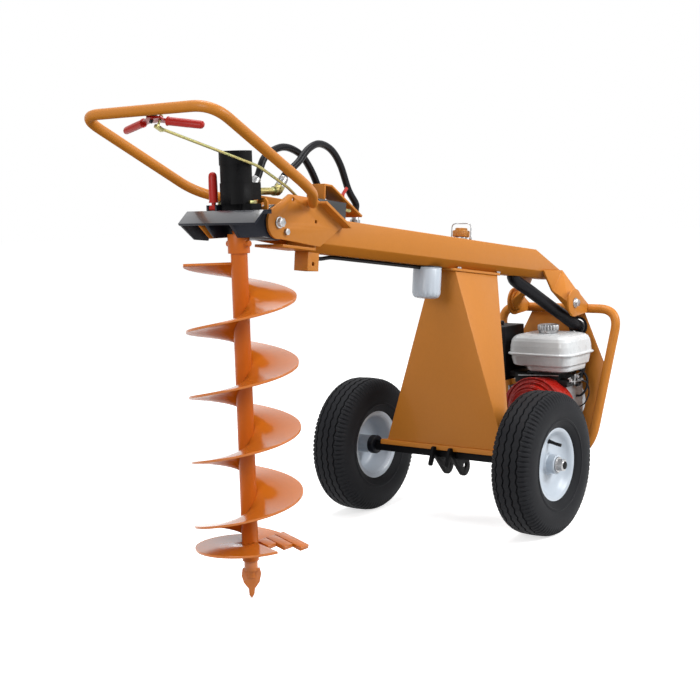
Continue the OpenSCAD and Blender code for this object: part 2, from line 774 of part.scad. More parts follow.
module head_frame() color("black") on_head() difference() {
    union() {
        slab(-hood_w / 2, hood_w / 2) polygon([
            [-35, seat_z], [-52, seat_z], [hood_front, 5], [hood_front + 4, -1], [-50, seat_z - 7],
            [-35, seat_z - 7]
        ]);
        slab(hood_w / 2 - 6, hood_w / 2) polygon([
            [hood_front, 5], [-52, seat_z], [-35, seat_z], [40, -8], [22, -46], [-30, -41]
        ]);
        slab(-75, 75) polygon([
            [-36, seat_z - seat_plate], [54, seat_z - seat_plate], [54, seat_z], [-36, seat_z]
        ]);
        both_sides() slab(arm_in, arm_in + arm_t) polygon([
            [-46, -36], [-78, 0], [-50, seat_z - 7], [54, seat_z - 7], [head_reach, drum_d / 2 - 4],
            [head_reach, -drum_d / 2 + 4], [50, -36]
        ]);
        translate([head_reach, 0, 0]) rod_y(drum_d, -drum_half, drum_half);
        for (s = [-1, 1]) translate([latch[0], latch[1] + s * 15.5, seat_z])
            block([-10, -3, -6], [10, 3, 15]);
    }
    for (s = [-1, 1]) translate([0, s * motor_bolt, seat_z - seat_plate - 5])
        cylinder(d = motor_bolt_d, h = 40);
    translate([head_reach, 0, 0]) rod_y(pivot_d + 2 * run_gap, -100, 100);
    translate([0, 0, -100]) cylinder(d = 62, h = 200);
}

port_x1 = 54;

module motor() color("black") on_head() translate([0, 0, seat_z]) {
    difference() {
        union() {
            cylinder(d = 84, h = 16);
            block([-20, -motor_bolt - 12, 0], [20, motor_bolt + 12, 16]);
        }
        for (s = [-1, 1]) translate([0, s * motor_bolt, -1]) cylinder(d = motor_bolt_d, h = 20);
    }
    translate([0, 0, 16]) cylinder(d = motor_d, h = motor_h * 0.36);
    translate([0, 0, 16 + motor_h * 0.36]) cylinder(d = motor_d - 4, h = motor_h * 0.3);
    translate([0, 0, 16 + motor_h * 0.66]) cylinder(d = motor_d, h = motor_h * 0.34 - 16);
    block([20, -40, 27], [port_x1, 42, 73]);
}

module motor_bolts() color("silver") on_head() for (s = [-1, 1]) translate([0, s * motor_bolt, seat_z]) {
    translate([0, 0, -seat_plate]) cylinder(d = motor_bolt_d, h = seat_plate + 16);
    translate([0, 0, 16]) hex_z(19, 9);
}

module fitting(f) {
    translate([0, f[1], f[2]]) {
        rod_x(20, port_x1, f[0]);
        rod_x(30, port_x1, port_x1 + 14);
    }
    translate(f) {
        sphere(d = 26);
        rotate([0, lean, 0]) {
            hex_z(26, 18);
            cylinder(d = 25, h = ferrule_l - 0.3);
        }
    }
}

module hose_fittings() color("gold") on_head() {
    fitting(fit_feed);
    fitting(fit_return);
}

latch_d = 14;
latch_h = 96;

module latch_lever() color("red") on_head() translate([latch[0], latch[1], seat_z + latch_d / 2 + 0.3]) {
    rod_y(latch_d, -12, 12);
    cylinder(d = 12, h = latch_h);
    translate([0, 0, 14]) cylinder(d = 24, h = latch_h - 14);
}

tube_top = auger_top + 52;

module auger_shaft() color("orangered") on_head() {
    translate([0, 0, -pivot_rise + pilot_h]) cylinder(d = auger_tube_d, h = pivot_rise - pilot_h + auger_top);
    translate([0, 0, auger_top]) cylinder(d = 62 - 2, h = tube_top - auger_top);
    translate([0, 0, tube_top]) cylinder(d = shaft_d, h = seat_z - side_gap - tube_top);
    translate([0, 0, auger_top + 26]) rod_y(16, -40, 40);
}

flight_in = tube_r / cos(7.5) + 0.05;
function helix_row(t, z) = let (u = [cos(t), sin(t), 0], h = [0, 0, z]) [
    flight_in * u + h, flight_r * u + h,
    flight_r * u + h - [0, 0, flight_t], flight_in * u + h - [0, 0, flight_t]
];
module helicoid(t0, z0, turns, pitch) {
    n = round(turns * 24);
    polyhedron(
        [for (i = [0:n]) each helix_row(t0 + 360 * turns * i / n, z0 + pitch * turns * i / n)],
        concat([[0, 1, 2, 3]],
            [for (i = [0:n - 1], k = [0:3]) [4 * i + (k + 1) % 4, 4 * i + k, 4 * i + 4 + k]],
            [for (i = [0:n - 1], k = [0:3]) [4 * i + (k + 1) % 4, 4 * i + 4 + k, 4 * i + 4 + (k + 1) % 4]],
            [[4 * n + 3, 4 * n + 2, 4 * n + 1, 4 * n]])
    );
}

module auger_flight() color("orangered") translate([auger_x, 0, 0]) {
    helicoid(0, flight_low + flight_t, flight_turns, flight_pitch);
    helicoid(lead_start, flight_low + flight_t - 2.5, 0.58, lead_pitch);
}

module auger_teeth() color("orangered") translate([auger_x, 0, flight_low + flight_t / 2])
    for (k = [0:2]) translate([54 + 39 * k, 0, 0]) rotate([15, 0, 0])
        block([-18, -34 - 28 * k, -6], [18, 8, 6]);

module pilot_bit() color("orangered") translate([auger_x, 0, 0]) {
    translate([0, 0, 78]) cylinder(d = 38, h = pilot_h - 78);
    translate([0, 0, 58]) cylinder(d = 26, h = 20);
    rotate([0, 0, -53]) slab(-7, 7)
        polygon([
        [-24, 84], [-27, 64], [-21, 44], [-8, 27], [-7, 9], [0, 0],
        [7, 12], [9, 27], [23, 46], [28, 68], [24, 84]
    ]);
}

// Engine

case_x0 = -60;
case_x1 = 88;
case_half = 84;
case_h = 178;
tank_z = 234;
bell_end = case_x1 + 70;

module engine_block() color("silver") on_deck() difference() {
    union() {
        block([case_x0, -92, 0], [case_x1 - 8, 92, 22]);
        block([case_x0, -case_half, 22], [case_x1, case_half, case_h]);
        translate([0, 0, crank_z]) rod_x(bell_d, case_x1, bell_end);
        block([case_x0, -60, case_h], [70, 60, tank_z]);
    }
    translate([0, 0, crank_z]) rod_x(bell_d - 24, case_x0 + 12, bell_end - 12);
    block([case_x0 + 10, -50, case_h + 10], [60, 50, tank_z - 8]);
}

module cylinder_head() color("silver") on_deck() {
    block([-40, case_half, 70], [46, 160, 158]);
    for (k = [0:4]) block([-54, case_half + 6 + 14 * k, 56], [60, case_half + 14 + 14 * k, 172]);
}

cleaner_y = tank_w / 2 + 9;

module air_cleaner() color("black") on_deck() difference() {
    union() {
        block([-92, cleaner_y, 196], [47, cleaner_y + 120, 396]);
        block([-60, 60, 208], [40, cleaner_y, 228]);
    }
    block([-84, cleaner_y + 8, 204], [39, cleaner_y + 112, 388]);
}

module muffler() color("dimgray") on_deck() {
    block([51, case_half + 4, 182], [110, case_half + 120, 252]);
    block([51, case_half + 60, 172], [60, case_half + 76, 182]);
}

module gear_pump() color("dimgray") on_deck() translate([0, 20, crank_z]) {
    block([bell_end, -46, -46], [bell_end + 14, 46, 46]);
    block([bell_end + 14, -34, -44], [pump_rear - engine_x0, 34, 44]);
    translate([844 - engine_x0, 0, 44]) cylinder(d = 50, h = 12);
}

fan_x = -176;

module recoil_cover() color("red") on_deck() difference() {
    union() {
        translate([0, 0, crank_z + 2]) rod_x(208, fan_x + 34, case_x0);
        translate([0, 0, crank_z + 2]) rod_x(176, fan_x + 12, fan_x + 34);
        translate([0, 0, crank_z + 2]) rod_x(150, fan_x, fan_x + 12);
        intersection() {
            block([fan_x + 40, -122, 70], [case_x0, 122, 216]);
            translate([0, 0, crank_z - 30]) rod_x(280, fan_x + 30, case_x0 + 10);
        }
    }
    translate([0, 0, crank_z + 2]) rod_x(140, fan_x + 20, case_x0 + 10);
}

module recoil_grip() color("black") on_deck() translate([fan_x, -56, crank_z + 20]) {
    rod_x(10, -42, -0.3);
    translate([-48, -28, 0]) rod_y(20, 0, 56);
}

tank_seam = tank_h * 0.46;
belly_h = 24;

module fuel_tank() color("white") on_deck() translate([0, 0, tank_z]) difference() {
    union() {
        translate([6, -18, 0]) linear_extrude(belly_h) rounded(tank_l - 56, tank_w - 84, 40);
        tank_layer(14, belly_h, tank_seam);
        tank_layer(0, tank_seam, tank_seam + 6);
        tank_layer(6, tank_seam + 6, tank_h - 18);
        tank_layer(22, tank_h - 18, tank_h);
    }
    tank_layer(40, belly_h + 6, tank_h - 6);
}
module tank_layer(s, z0, z1) translate([0, 0, z0]) linear_extrude(z1 - z0)
    rounded(tank_l - 2 * s, tank_w - 2 * s, 44);
module rounded(a, b, r) {
    square([a - 2 * r, b], center = true);
    square([a, b - 2 * r], center = true);
    for (x = [-1, 1], y = [-1, 1]) translate([x * (a / 2 - r), y * (b / 2 - r)]) circle(r = r);
}

module fuel_cap() color("silver") on_deck() translate([-18, 0, tank_z + tank_h + 0.3]) {
    cylinder(d = 70, h = 10);
    translate([0, 0, 10]) cylinder(d = 78, h = 22);
}

axle_beam();
axle_nuts();
tow_lugs();
tower();
tower_base();
saddle();
boom();
boom_legs();
frame_bolts();
frame_ears();
rear_hoop();
rear_plate();
plate_grommet();
engine_deck();
side_plates();
fork_floor();
pivot_bolt();
stake_pocket();
handle();
lever_bracket();
control_lever();
lever_grips();
control_rod();
valve_body();
valve_cover();
detent_lever();
hose_ports();
hose_feed();
hose_return();
underside_hose();
suction_hose();
filter_head();
oil_filter();
filler_neck();
filler_cap();
cap_bail();
wheel_near();
tyre_near();
hub_near();
wheel_far();
tyre_far();
hub_far();
head_frame();
motor();
motor_bolts();
hose_fittings();
latch_lever();
auger_shaft();
auger_flight();
auger_teeth();
pilot_bit();
engine_block();
cylinder_head();
air_cleaner();
muffler();
gear_pump();
recoil_cover();
recoil_grip();
fuel_tank();
fuel_cap();
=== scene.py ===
# %% [markdown]
# # A towable earth auger
# A one-person hole digger: an orange boom on a tapered tower, two wheels, an engine at the
# rear and a hydraulic auger at the front. The solids come in as a fixed frame. Each cell then
# dresses one group of pieces, in the same place, so that nothing has to be fitted by eye.

# %% Load the frame
import bpy
import bmesh
import json
from math import atan2, cos, hypot, pi, radians, sin
from mathutils import Matrix, Vector


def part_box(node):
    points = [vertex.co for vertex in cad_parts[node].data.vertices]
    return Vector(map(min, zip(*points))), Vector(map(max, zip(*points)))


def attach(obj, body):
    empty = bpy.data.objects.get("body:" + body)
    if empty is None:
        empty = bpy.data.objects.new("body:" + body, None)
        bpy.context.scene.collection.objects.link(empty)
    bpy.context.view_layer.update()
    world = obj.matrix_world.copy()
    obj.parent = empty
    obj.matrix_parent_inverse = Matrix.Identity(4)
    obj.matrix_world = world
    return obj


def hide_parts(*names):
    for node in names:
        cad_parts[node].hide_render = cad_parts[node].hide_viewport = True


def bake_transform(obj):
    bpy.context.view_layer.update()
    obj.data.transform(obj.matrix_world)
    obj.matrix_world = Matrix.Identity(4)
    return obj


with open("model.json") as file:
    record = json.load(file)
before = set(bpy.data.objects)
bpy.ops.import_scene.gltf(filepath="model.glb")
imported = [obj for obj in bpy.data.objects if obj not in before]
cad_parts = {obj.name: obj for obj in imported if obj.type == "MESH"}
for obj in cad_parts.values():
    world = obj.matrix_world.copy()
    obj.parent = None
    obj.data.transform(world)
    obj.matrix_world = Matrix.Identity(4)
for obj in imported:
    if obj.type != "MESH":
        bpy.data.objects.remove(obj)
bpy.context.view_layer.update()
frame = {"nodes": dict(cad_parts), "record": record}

solids = frame["nodes"]
body_of_node = {n: body for body, nodes in frame["record"]["behaviour"]["bodies"].items() for n in nodes}
slot_of_node = {s["node"]: s["material_slot"] for s in frame["record"]["subparts"]}

# %% [markdown]
# ## The places that pieces are drawn in
# The machine leans back on its wheels, the auger hangs plumb and the engine sits level. Working
# in the tilted frame of each group, in millimetres, keeps every number the one a maker would
# measure. A matrix then carries a finished mesh to its place, and the object stays at the origin.

# %% Local frames
MM = Matrix.Scale(0.001, 4)
AXLE_X, AXLE_Z, HALF_TRACK = 0.227256, 0.2335, 0.356
DRILL_X = -0.793484
BAR_X, BAR_Z = -1476, 923
CHASSIS = Matrix.Translation((AXLE_X, 0, AXLE_Z)) @ Matrix.Rotation(radians(7), 4, "Y") @ MM
HEAD = Matrix.Translation((DRILL_X, 0, 1.038589)) @ MM
DRILL = Matrix.Translation((DRILL_X, 0, 0)) @ MM
DECK = Matrix.Translation((0.860256, -0.047, 0.208)) @ MM
BAR = CHASSIS @ Matrix.Translation((BAR_X, 0, BAR_Z)) @ Matrix.Rotation(radians(20.4), 4, "Y")


def wheel_frame(side):
    """Z points out of the wheel's outer face."""
    turn = Matrix.Rotation(radians(-90 * side), 4, "X")
    return Matrix.Translation((AXLE_X, side * HALF_TRACK, AXLE_Z)) @ turn @ MM


print("wheel centre", list(CHASSIS.translation), "handle bar", list(BAR.translation))

# %% [markdown]
# ## The camera
# The picture was taken from the front quarter, a little above the boom, with a long lens. The
# camera is turned by the three axes of the view, which leaves no doubt about its roll.

# %% Camera
right, up, ahead = (0.6037, -0.7967, -0.0287), (0.1095, 0.0473, 0.9929), (0.7897, 0.6025, -0.1158)
eye = bpy.data.objects.new("camera", bpy.data.cameras.new("camera"))
eye.data.lens, eye.data.sensor_width, eye.data.sensor_fit = 67.23, 36, "HORIZONTAL"
pose = Matrix((right, up, [-a for a in ahead])).transposed().to_4x4()
pose.translation = (-3.4358, -2.3845, 1.1009)
eye.matrix_world = pose
bpy.context.scene.collection.objects.link(eye)
bpy.context.scene.camera = eye
bpy.context.scene.view_settings.view_transform = "Standard"
print("camera at", list(pose.translation))

# %% [markdown]
# ## Writing shaders as sums
# Node trees grow hard to read when each Math node takes four lines. A small class wraps a socket
# and gives it arithmetic, so `0.3 + 0.1 * grain` adds its own nodes. A second class holds one
# finish, and its `add` method makes any other node from its type, settings and inputs.

# %% Sockets with arithmetic
class Wire:
    def __init__(self, tree, socket):
        self.tree, self.socket = tree, socket

    def math(self, operation, first, second):
        sum_node = self.tree.nodes.new("ShaderNodeMath")
        sum_node.operation = operation
        for socket, value in zip(sum_node.inputs, (first, second)):
            if isinstance(value, Wire):
                self.tree.links.new(value.socket, socket)
            else:
                socket.default_value = value
        return Wire(self.tree, sum_node.outputs[0])

    def __add__(self, other):
        return self.math("ADD", self, other)

    def __radd__(self, other):
        return self.math("ADD", other, self)

    def __sub__(self, other):
        return self.math("SUBTRACT", self, other)

    def __rsub__(self, other):
        return self.math("SUBTRACT", other, self)

    def __mul__(self, other):
        return self.math("MULTIPLY", self, other)

    def __rmul__(self, other):
        return self.math("MULTIPLY", other, self)


class Tree:
    def __init__(self, tree):
        self.tree = tree
        tree.nodes.clear()

    def add(self, kind, settings=None, inputs=None, output=0):
        made = self.tree.nodes.new(kind)
        for name, value in (settings or {}).items():
            if name == "stops":
                ramp = made.color_ramp.elements
                while len(ramp) < len(value):
                    ramp.new(0.5)
                for stop, (at, colour) in zip(ramp, value):
                    stop.position, stop.color = at, (*colour, 1)
            else:
                setattr(made, name, value)
        for name, value in (inputs or {}).items():
            if isinstance(value, Wire):
                self.tree.links.new(value.socket, made.inputs[name])
            else:
                made.inputs[name].default_value = value
        return Wire(self.tree, made.outputs[output])

    def mix(self, share, first, second):
        sides = [v if isinstance(v, Wire) else (*v, 1) for v in (first, second)]
        return self.add("ShaderNodeMix", {"data_type": "RGBA"}, {0: share, 6: sides[0], 7: sides[1]}, 2)


class Finish(Tree):
    """One painted, plated or moulded surface, with its pattern in the piece's own coordinates."""

    def __init__(self, name, **fixed):
        self.material = bpy.data.materials.new(name)
        self.material.use_nodes = True
        super().__init__(self.material.node_tree)
        self.here = self.add("ShaderNodeTexCoord", output="Object")
        self.shader = self.tree.nodes.new("ShaderNodeBsdfPrincipled")
        end = self.tree.nodes.new("ShaderNodeOutputMaterial")
        self.tree.links.new(self.shader.outputs[0], end.inputs["Surface"])
        for name, value in fixed.items():
            self.shader.inputs[name.replace("_", " ")].default_value = value

    def grain(self, scale, detail=3.0, rough=0.5):
        return self.add("ShaderNodeTexNoise", None,
                        {"Vector": self.here, "Scale": scale, "Detail": detail, "Roughness": rough})

    def feed(self, **wires):
        for name, wire in wires.items():
            self.tree.links.new(wire.socket, self.shader.inputs[name.replace("_", " ")])

    def relief(self, height, depth, strength=1.0):
        bump = self.add("ShaderNodeBump", None, {"Height": height, "Distance": depth, "Strength": strength})
        self.feed(Normal=bump)


print("shader classes ready")

# %% [markdown]
# ## Paint
# Powder coat looks even from afar, but close up it has the fine dimples called orange peel, and
# thick and thin places that shift its colour a little. One function makes every paint on the
# machine: two close tones, a roughness that wanders, and a fine relief. Some paints carry painted
# shade and sheen by facing: coat and shine fade on faces that look down, and on the black paints on
# all but the upper faces. This stands for the dark ground those faces mirror, as here the floor is white.

# %% Paints
def paint(name, full, thin, rough, coat=0.0, peel=0.00006, grit=520, shine=0.35, painted_sheen_by_facing=None):
    coat_of = Finish(name, Coat_Weight=coat, Coat_Roughness=0.12, Specular_IOR_Level=shine)
    cloud, speck = coat_of.grain(3.1, 4), coat_of.grain(90, 2)
    tone = coat_of.mix(cloud, thin, full)
    coat_of.feed(Base_Color=coat_of.mix(0.16 * speck, tone, [0.6 * c for c in thin]),
                 Roughness=rough + 0.16 * (coat_of.grain(38, 3) - 0.5))
    coat_of.relief(coat_of.grain(grit, 2) + 0.35 * coat_of.grain(140, 1), peel)
    # Painted shade and sheen: coat and shine follow a ramp on the face's upward lean, so downward faces lose
    # their reflection.
    if painted_sheen_by_facing:
        sheen_gone_at, sheen_full_at, least_sheen = painted_sheen_by_facing
        facing = coat_of.add("ShaderNodeTexCoord", output="Normal")
        rise = coat_of.add("ShaderNodeSeparateXYZ", None, {"Vector": facing}, "Z")
        gloss = coat_of.add("ShaderNodeMapRange", None,
                            {"Value": rise, "From Min": sheen_gone_at, "From Max": sheen_full_at})
        coat_of.feed(Coat_Weight=coat * gloss, Specular_IOR_Level=shine * (gloss + least_sheen))
    return coat_of.material


finishes = {
    "orange_paint": paint("orange_powder_coat", (0.55, 0.203, 0.028), (0.50, 0.174, 0.020), 0.42, 0.05,
                          peel=0.00002, shine=0.22, painted_sheen_by_facing=(-0.6, 0.0, 0.03)),
    "auger_paint": paint("auger_gloss_paint", (0.62, 0.175, 0.016), (0.56, 0.140, 0.011), 0.18, 0.4,
                         peel=0.00003, shine=0.3, painted_sheen_by_facing=(-0.5, 0.0, 0.03)),
    "black_paint": paint("black_gloss_paint", (0.010, 0.011, 0.016), (0.008, 0.009, 0.013), 0.36, 0.2,
                         shine=0.35, painted_sheen_by_facing=(0.15, 0.6, 0.3)),
    "white_paint": paint("rim_white_paint", (0.54, 0.60, 0.67), (0.49, 0.55, 0.62), 0.36, 0.2),
    "engine_red": paint("engine_red_paint", (0.40, 0.013, 0.006), (0.33, 0.009, 0.005), 0.28, 0.2,
                        shine=0.25),
    "tank_white": paint("tank_cool_white_paint", (0.67, 0.69, 0.70), (0.63, 0.65, 0.66), 0.28, 0.2,
                        peel=0.00001, grit=900),
}
print("paints:", ", ".join(finishes))

# %% [markdown]
# ## Plated and bare metal
# Zinc has a faint crystal pattern, yellow zinc drifts between straw, green and rose, and a
# casting keeps the grain of its sand mould. A cell pattern gives the first, slow clouds the
# second and a coarse relief the third. Metal shows what is around it, so its tone stays plain.

# %% Metals
def plating(name, tones, rough, spangle=160):
    plate = Finish(name, Metallic=1.0)
    drift = plate.add("ShaderNodeValToRGB", {"stops": tones}, {"Fac": plate.grain(34, 3)})
    flake = plate.add("ShaderNodeTexVoronoi", None, {"Vector": plate.here, "Scale": spangle}, "Color")
    patch = plate.add("ShaderNodeSeparateColor", None, {"Color": flake})
    plate.feed(Base_Color=plate.mix(0.16 * patch, drift, tones[0][1]), Roughness=rough + 0.14 * patch)
    plate.relief(plate.grain(700, 2), 0.00002)
    return plate.material


def casting(name, tone, dark, rough, metal, depth=0.0002):
    cast = Finish(name, Metallic=metal)
    pit = cast.grain(260, 4, 0.6)
    cast.feed(Base_Color=cast.mix(cast.grain(14, 4), dark, tone), Roughness=rough + 0.2 * (pit - 0.5))
    cast.relief(pit + 0.5 * cast.grain(60, 3), depth)
    return cast.material


finishes["zinc"] = plating("zinc_plate", [(0.3, (0.30, 0.30, 0.31)), (0.7, (0.44, 0.44, 0.44))], 0.3)
finishes["yellow_zinc"] = plating("yellow_zinc_plate", [
    (0.3, (0.24, 0.20, 0.08)), (0.48, (0.34, 0.29, 0.12)), (0.6, (0.27, 0.28, 0.12)),
    (0.75, (0.31, 0.22, 0.13))], 0.34)
finishes["exhaust_steel"] = plating("exhaust_sheet", [
    (0.3, (0.30, 0.27, 0.24)), (0.6, (0.42, 0.40, 0.38)), (0.8, (0.34, 0.27, 0.20))], 0.42, 60)
finishes["cast_alloy"] = casting("cast_alloy_skin", (0.36, 0.36, 0.37), (0.24, 0.24, 0.25), 0.48, 0.9)
finishes["iron"] = casting("dark_iron_skin", (0.026, 0.026, 0.028), (0.014, 0.014, 0.015), 0.42, 0.25)
print("metals done:", len(finishes), "finishes so far")

# %% [markdown]
# ## Rubber, vinyl and plastic
# Tyre rubber is dull with a little road dust, hose rubber carries the print of the cloth it was
# cured in, and the red grips are dipped vinyl with a soft skin. All are the same few nodes with
# different scales.

# %% Rubbers and plastics
def moulded(name, full, worn, rough, depth, grit, shine=0.3):
    skin = Finish(name, Specular_IOR_Level=shine)
    dust, pore = skin.grain(11, 5, 0.6), skin.grain(grit, 3)
    skin.feed(Base_Color=skin.mix(dust, full, worn), Roughness=rough + 0.18 * (pore - 0.5))
    skin.relief(pore + 0.4 * skin.grain(grit * 0.3, 2), depth)
    return skin.material


finishes["tyre_rubber"] = moulded(
    "tyre_rubber_skin", (0.008, 0.008, 0.010), (0.017, 0.018, 0.020), 0.64, 0.0002, 420, shine=0.1)
finishes["hose_rubber"] = moulded(
    "hose_rubber_skin", (0.006, 0.006, 0.008), (0.009, 0.009, 0.011), 0.34, 0.0001, 800, shine=0.1)
finishes["grip_red"] = moulded(
    "red_vinyl_skin", (0.42, 0.020, 0.012), (0.35, 0.014, 0.010), 0.36, 0.0001, 600, shine=0.2)
finishes["black_plastic"] = moulded(
    "black_plastic_skin", (0.007, 0.007, 0.008), (0.012, 0.012, 0.013), 0.46, 0.0001, 900, shine=0.15)
finishes["amber"] = moulded("amber_cap_skin", (0.44, 0.18, 0.026), (0.37, 0.14, 0.019), 0.3, 0.00005, 500)
print(len(finishes), "finishes for", len(set(slot_of_node.values())), "slots")

# %% [markdown]
# ## Floor, world and lamps
# The machine stands on plain white. The world and the floor show white to the camera and to
# mirror rays, and light the object at a lower, even level. The floor keeps a soft shadow. One
# broad lamp stands on the near side, because the near faces are the bright ones. Weaker ones
# fill the front and the top.

# %% Studio
FILL_LEVEL, FLOOR_GLOW = 0.46, 0.645
world = bpy.data.worlds.new("studio")
world.use_nodes = True
sky = Tree(world.node_tree)
rays = ("Is Camera Ray", "Is Glossy Ray", "Is Transmission Ray")
seen = [sky.add("ShaderNodeLightPath", output=ray) for ray in rays]
shown = seen[0].math("MAXIMUM", seen[0].math("MAXIMUM", seen[0], seen[1]), seen[2])
glow = sky.add("ShaderNodeBackground", None, {
    "Color": (1, 1, 1, 1), "Strength": FILL_LEVEL + (1 - FILL_LEVEL) * shown})
end = sky.tree.nodes.new("ShaderNodeOutputWorld")
sky.tree.links.new(glow.socket, end.inputs["Surface"])
bpy.context.scene.world = world

paper = bpy.data.materials.new("studio_floor")
paper.use_nodes = True
sheet = Tree(paper.node_tree)
seen = [sheet.add("ShaderNodeLightPath", output=ray) for ray in rays[:2]]
either = seen[0].math("MAXIMUM", seen[0], seen[1])
grey = sheet.mix(either, (0.30, 0.30, 0.30), (0.80, 0.80, 0.80))
matt = sheet.add("ShaderNodeBsdfDiffuse", None, {"Color": grey})
lit = sheet.add("ShaderNodeEmission", None, {"Color": (1, 1, 1, 1), "Strength": FLOOR_GLOW * either})
both = sheet.add("ShaderNodeAddShader", None, {0: matt, 1: lit})
end = sheet.tree.nodes.new("ShaderNodeOutputMaterial")
sheet.tree.links.new(both.socket, end.inputs["Surface"])

bm = bmesh.new()
bmesh.ops.create_grid(bm, x_segments=1, y_segments=1, size=30)
floor_mesh = bpy.data.meshes.new("floor")
bm.to_mesh(floor_mesh)
bm.free()
floor_mesh.materials.append(paper)
floor = bpy.data.objects.new("floor", floor_mesh)
bpy.context.scene.collection.objects.link(floor)


def lamp(name, at, to, width, watts):
    light = bpy.data.lights.new(name, "AREA")
    light.shape, light.size, light.energy = "DISK", width, watts
    stand = bpy.data.objects.new(name, light)
    aim = (Vector(to) - Vector(at)).to_track_quat("-Z", "Y").to_matrix().to_4x4()
    stand.matrix_world = Matrix.Translation(at) @ aim
    bpy.context.scene.collection.objects.link(stand)


lamp("near_side_lamp", (1.6, -4.6, 3.6), (0, 0, 0.7), 3.0, 285)
lamp("front_lamp", (-5.2, -0.6, 2.4), (0, 0, 0.7), 2.6, 120)
lamp("top_lamp", (0.0, 0.6, 5.0), (0, 0, 0.6), 3.0, 140)
print("studio ready")

# %% [markdown]
# ## Small tools for pieces
# Each piece starts as a bmesh in millimetres and ends through `hand_over`, which merges doubles,
# points faces outwards, moves the mesh to its place, sets its finish and its body, and hides the
# solids that it stands for.

# %% Piece helpers
def hand_over(name, bm, slot, body, *nodes, place=MM, crease=34, finish=None):
    bmesh.ops.remove_doubles(bm, verts=bm.verts, dist=0.002)
    bmesh.ops.recalc_face_normals(bm, faces=bm.faces)
    bmesh.ops.transform(bm, matrix=place, verts=bm.verts)
    mesh = bpy.data.meshes.new(name)
    bm.to_mesh(mesh)
    bm.free()
    return show(name, mesh, slot, body, *nodes, crease=crease, finish=finish)


def show(name, mesh, slot, body, *nodes, crease=34, finish=None):
    mesh.materials.clear()
    mesh.materials.append(finish or finishes[slot])
    mesh.shade_smooth()
    mesh.set_sharp_from_angle(angle=radians(crease))
    piece = bpy.data.objects.new(name, mesh)
    bpy.context.scene.collection.objects.link(piece)
    if body:
        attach(piece, body)
    if nodes:
        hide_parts(*nodes)
    return piece


def sharp_edges(bm, angle):
    return [e for e in bm.edges if len(e.link_faces) == 2 and e.calc_face_angle(0) > radians(angle)]


def ease(bm, width, angle=30):
    """Rounds the sharp edges."""
    bmesh.ops.bevel(bm, geom=sharp_edges(bm, angle), offset=width, offset_type="OFFSET", affect="EDGES",
                    segments=2, profile=0.5, material=-1, clamp_overlap=True)


def brick(bm, low, high):
    size = Vector(high) - Vector(low)
    place = Matrix.Translation((Vector(low) + Vector(high)) / 2) @ Matrix.Diagonal((*size, 1))
    bmesh.ops.create_cube(bm, size=1, matrix=place)


def rod(bm, start, finish, radius, sides=28, radius_end=None):
    axis = Vector(finish) - Vector(start)
    turn = axis.to_track_quat("Z", "X").to_matrix().to_4x4()
    bmesh.ops.create_cone(bm, cap_ends=True, segments=sides, radius1=radius,
                          radius2=radius if radius_end is None else radius_end, depth=axis.length,
                          matrix=Matrix.Translation((Vector(start) + Vector(finish)) / 2) @ turn)


def turned(profile, steps=72, closed=True):
    """Spins an outline of radius and height round Z."""
    bm = bmesh.new()
    line = [bm.verts.new((r, 0, h)) for r, h in profile]
    edges = [bm.edges.new(pair) for pair in zip(line, line[1:] + line[:1] if closed else line[1:])]
    bmesh.ops.spin(bm, geom=line + edges, cent=(0, 0, 0), axis=(0, 0, 1), angle=2 * pi, steps=steps,
                   use_merge=True)
    bmesh.ops.remove_doubles(bm, verts=bm.verts, dist=0.002)
    bmesh.ops.recalc_face_normals(bm, faces=bm.faces)
    return bm


def join(bm, other):
    """Adds one bmesh to another and frees it."""
    holder = bpy.data.meshes.new("join")
    other.to_mesh(holder)
    other.free()
    bm.from_mesh(holder)
    bpy.data.meshes.remove(holder)


def prism(bm, outline, depth):
    """A flat outline of points, pushed along a vector."""
    face = bm.faces.new([bm.verts.new(p) for p in outline])
    pushed = bmesh.ops.extrude_face_region(bm, geom=[face])["geom"]
    corners = [v for v in pushed if isinstance(v, bmesh.types.BMVert)]
    bmesh.ops.translate(bm, vec=depth, verts=corners)


def bend(a, b, c, reach, n=14):
    """The round of a corner, begun at a reach before and after it."""
    a, b, c = Vector(a), Vector(b), Vector(c)
    s, e = b + reach * (a - b).normalized(), b + reach * (c - b).normalized()
    return [(1 - f) ** 2 * s + 2 * f * (1 - f) * b + f * f * e for f in (k / n for k in range(n + 1))]


def flowing(points, n=10):
    """A smooth line through points."""
    p = [Vector(q) for q in points]
    line = []
    for i in range(len(p) - 1):
        a, b, c, d = p[max(i - 1, 0)], p[i], p[i + 1], p[min(i + 2, len(p) - 1)]
        for k in range(n):
            f = k / n
            line.append(0.5 * (2 * b + (c - a) * f + (2 * a - 5 * b + 4 * c - d) * f ** 2
                               + (3 * b - a - 3 * c + d) * f ** 3))
    return line + [p[-1]]


def pipe(name, line, radius, place=CHASSIS, sides=6):
    """A round tube along a line, as a mesh in its place."""
    curve = bpy.data.curves.new(name, "CURVE")
    curve.dimensions, curve.use_fill_caps = "3D", True
    curve.bevel_depth, curve.bevel_resolution = radius / 1000, sides
    spline = curve.splines.new("POLY")
    spline.points.add(len(line) - 1)
    for point, at in zip(spline.points, line):
        point.co = (*(place @ Vector(at)), 1)
    holder = bpy.data.objects.new(name, curve)
    bpy.context.scene.collection.objects.link(holder)
    mesh = bpy.data.meshes.new_from_object(holder.evaluated_get(bpy.context.evaluated_depsgraph_get()))
    bpy.data.objects.remove(holder)
    bpy.data.curves.remove(curve)
    mesh.name = name
    return mesh


print("helpers ready")

# %% [markdown]
# ## Plate, block and casting pieces
# Real plate has edges that catch the light, and a solid straight from the drawing has none. A
# copy of each solid is merged, its flat faces are joined, and every sharp edge gets a small
# round. The width follows the piece: under a millimetre on a bolt, several on a moulding. A few
# pieces have a paint of their own.

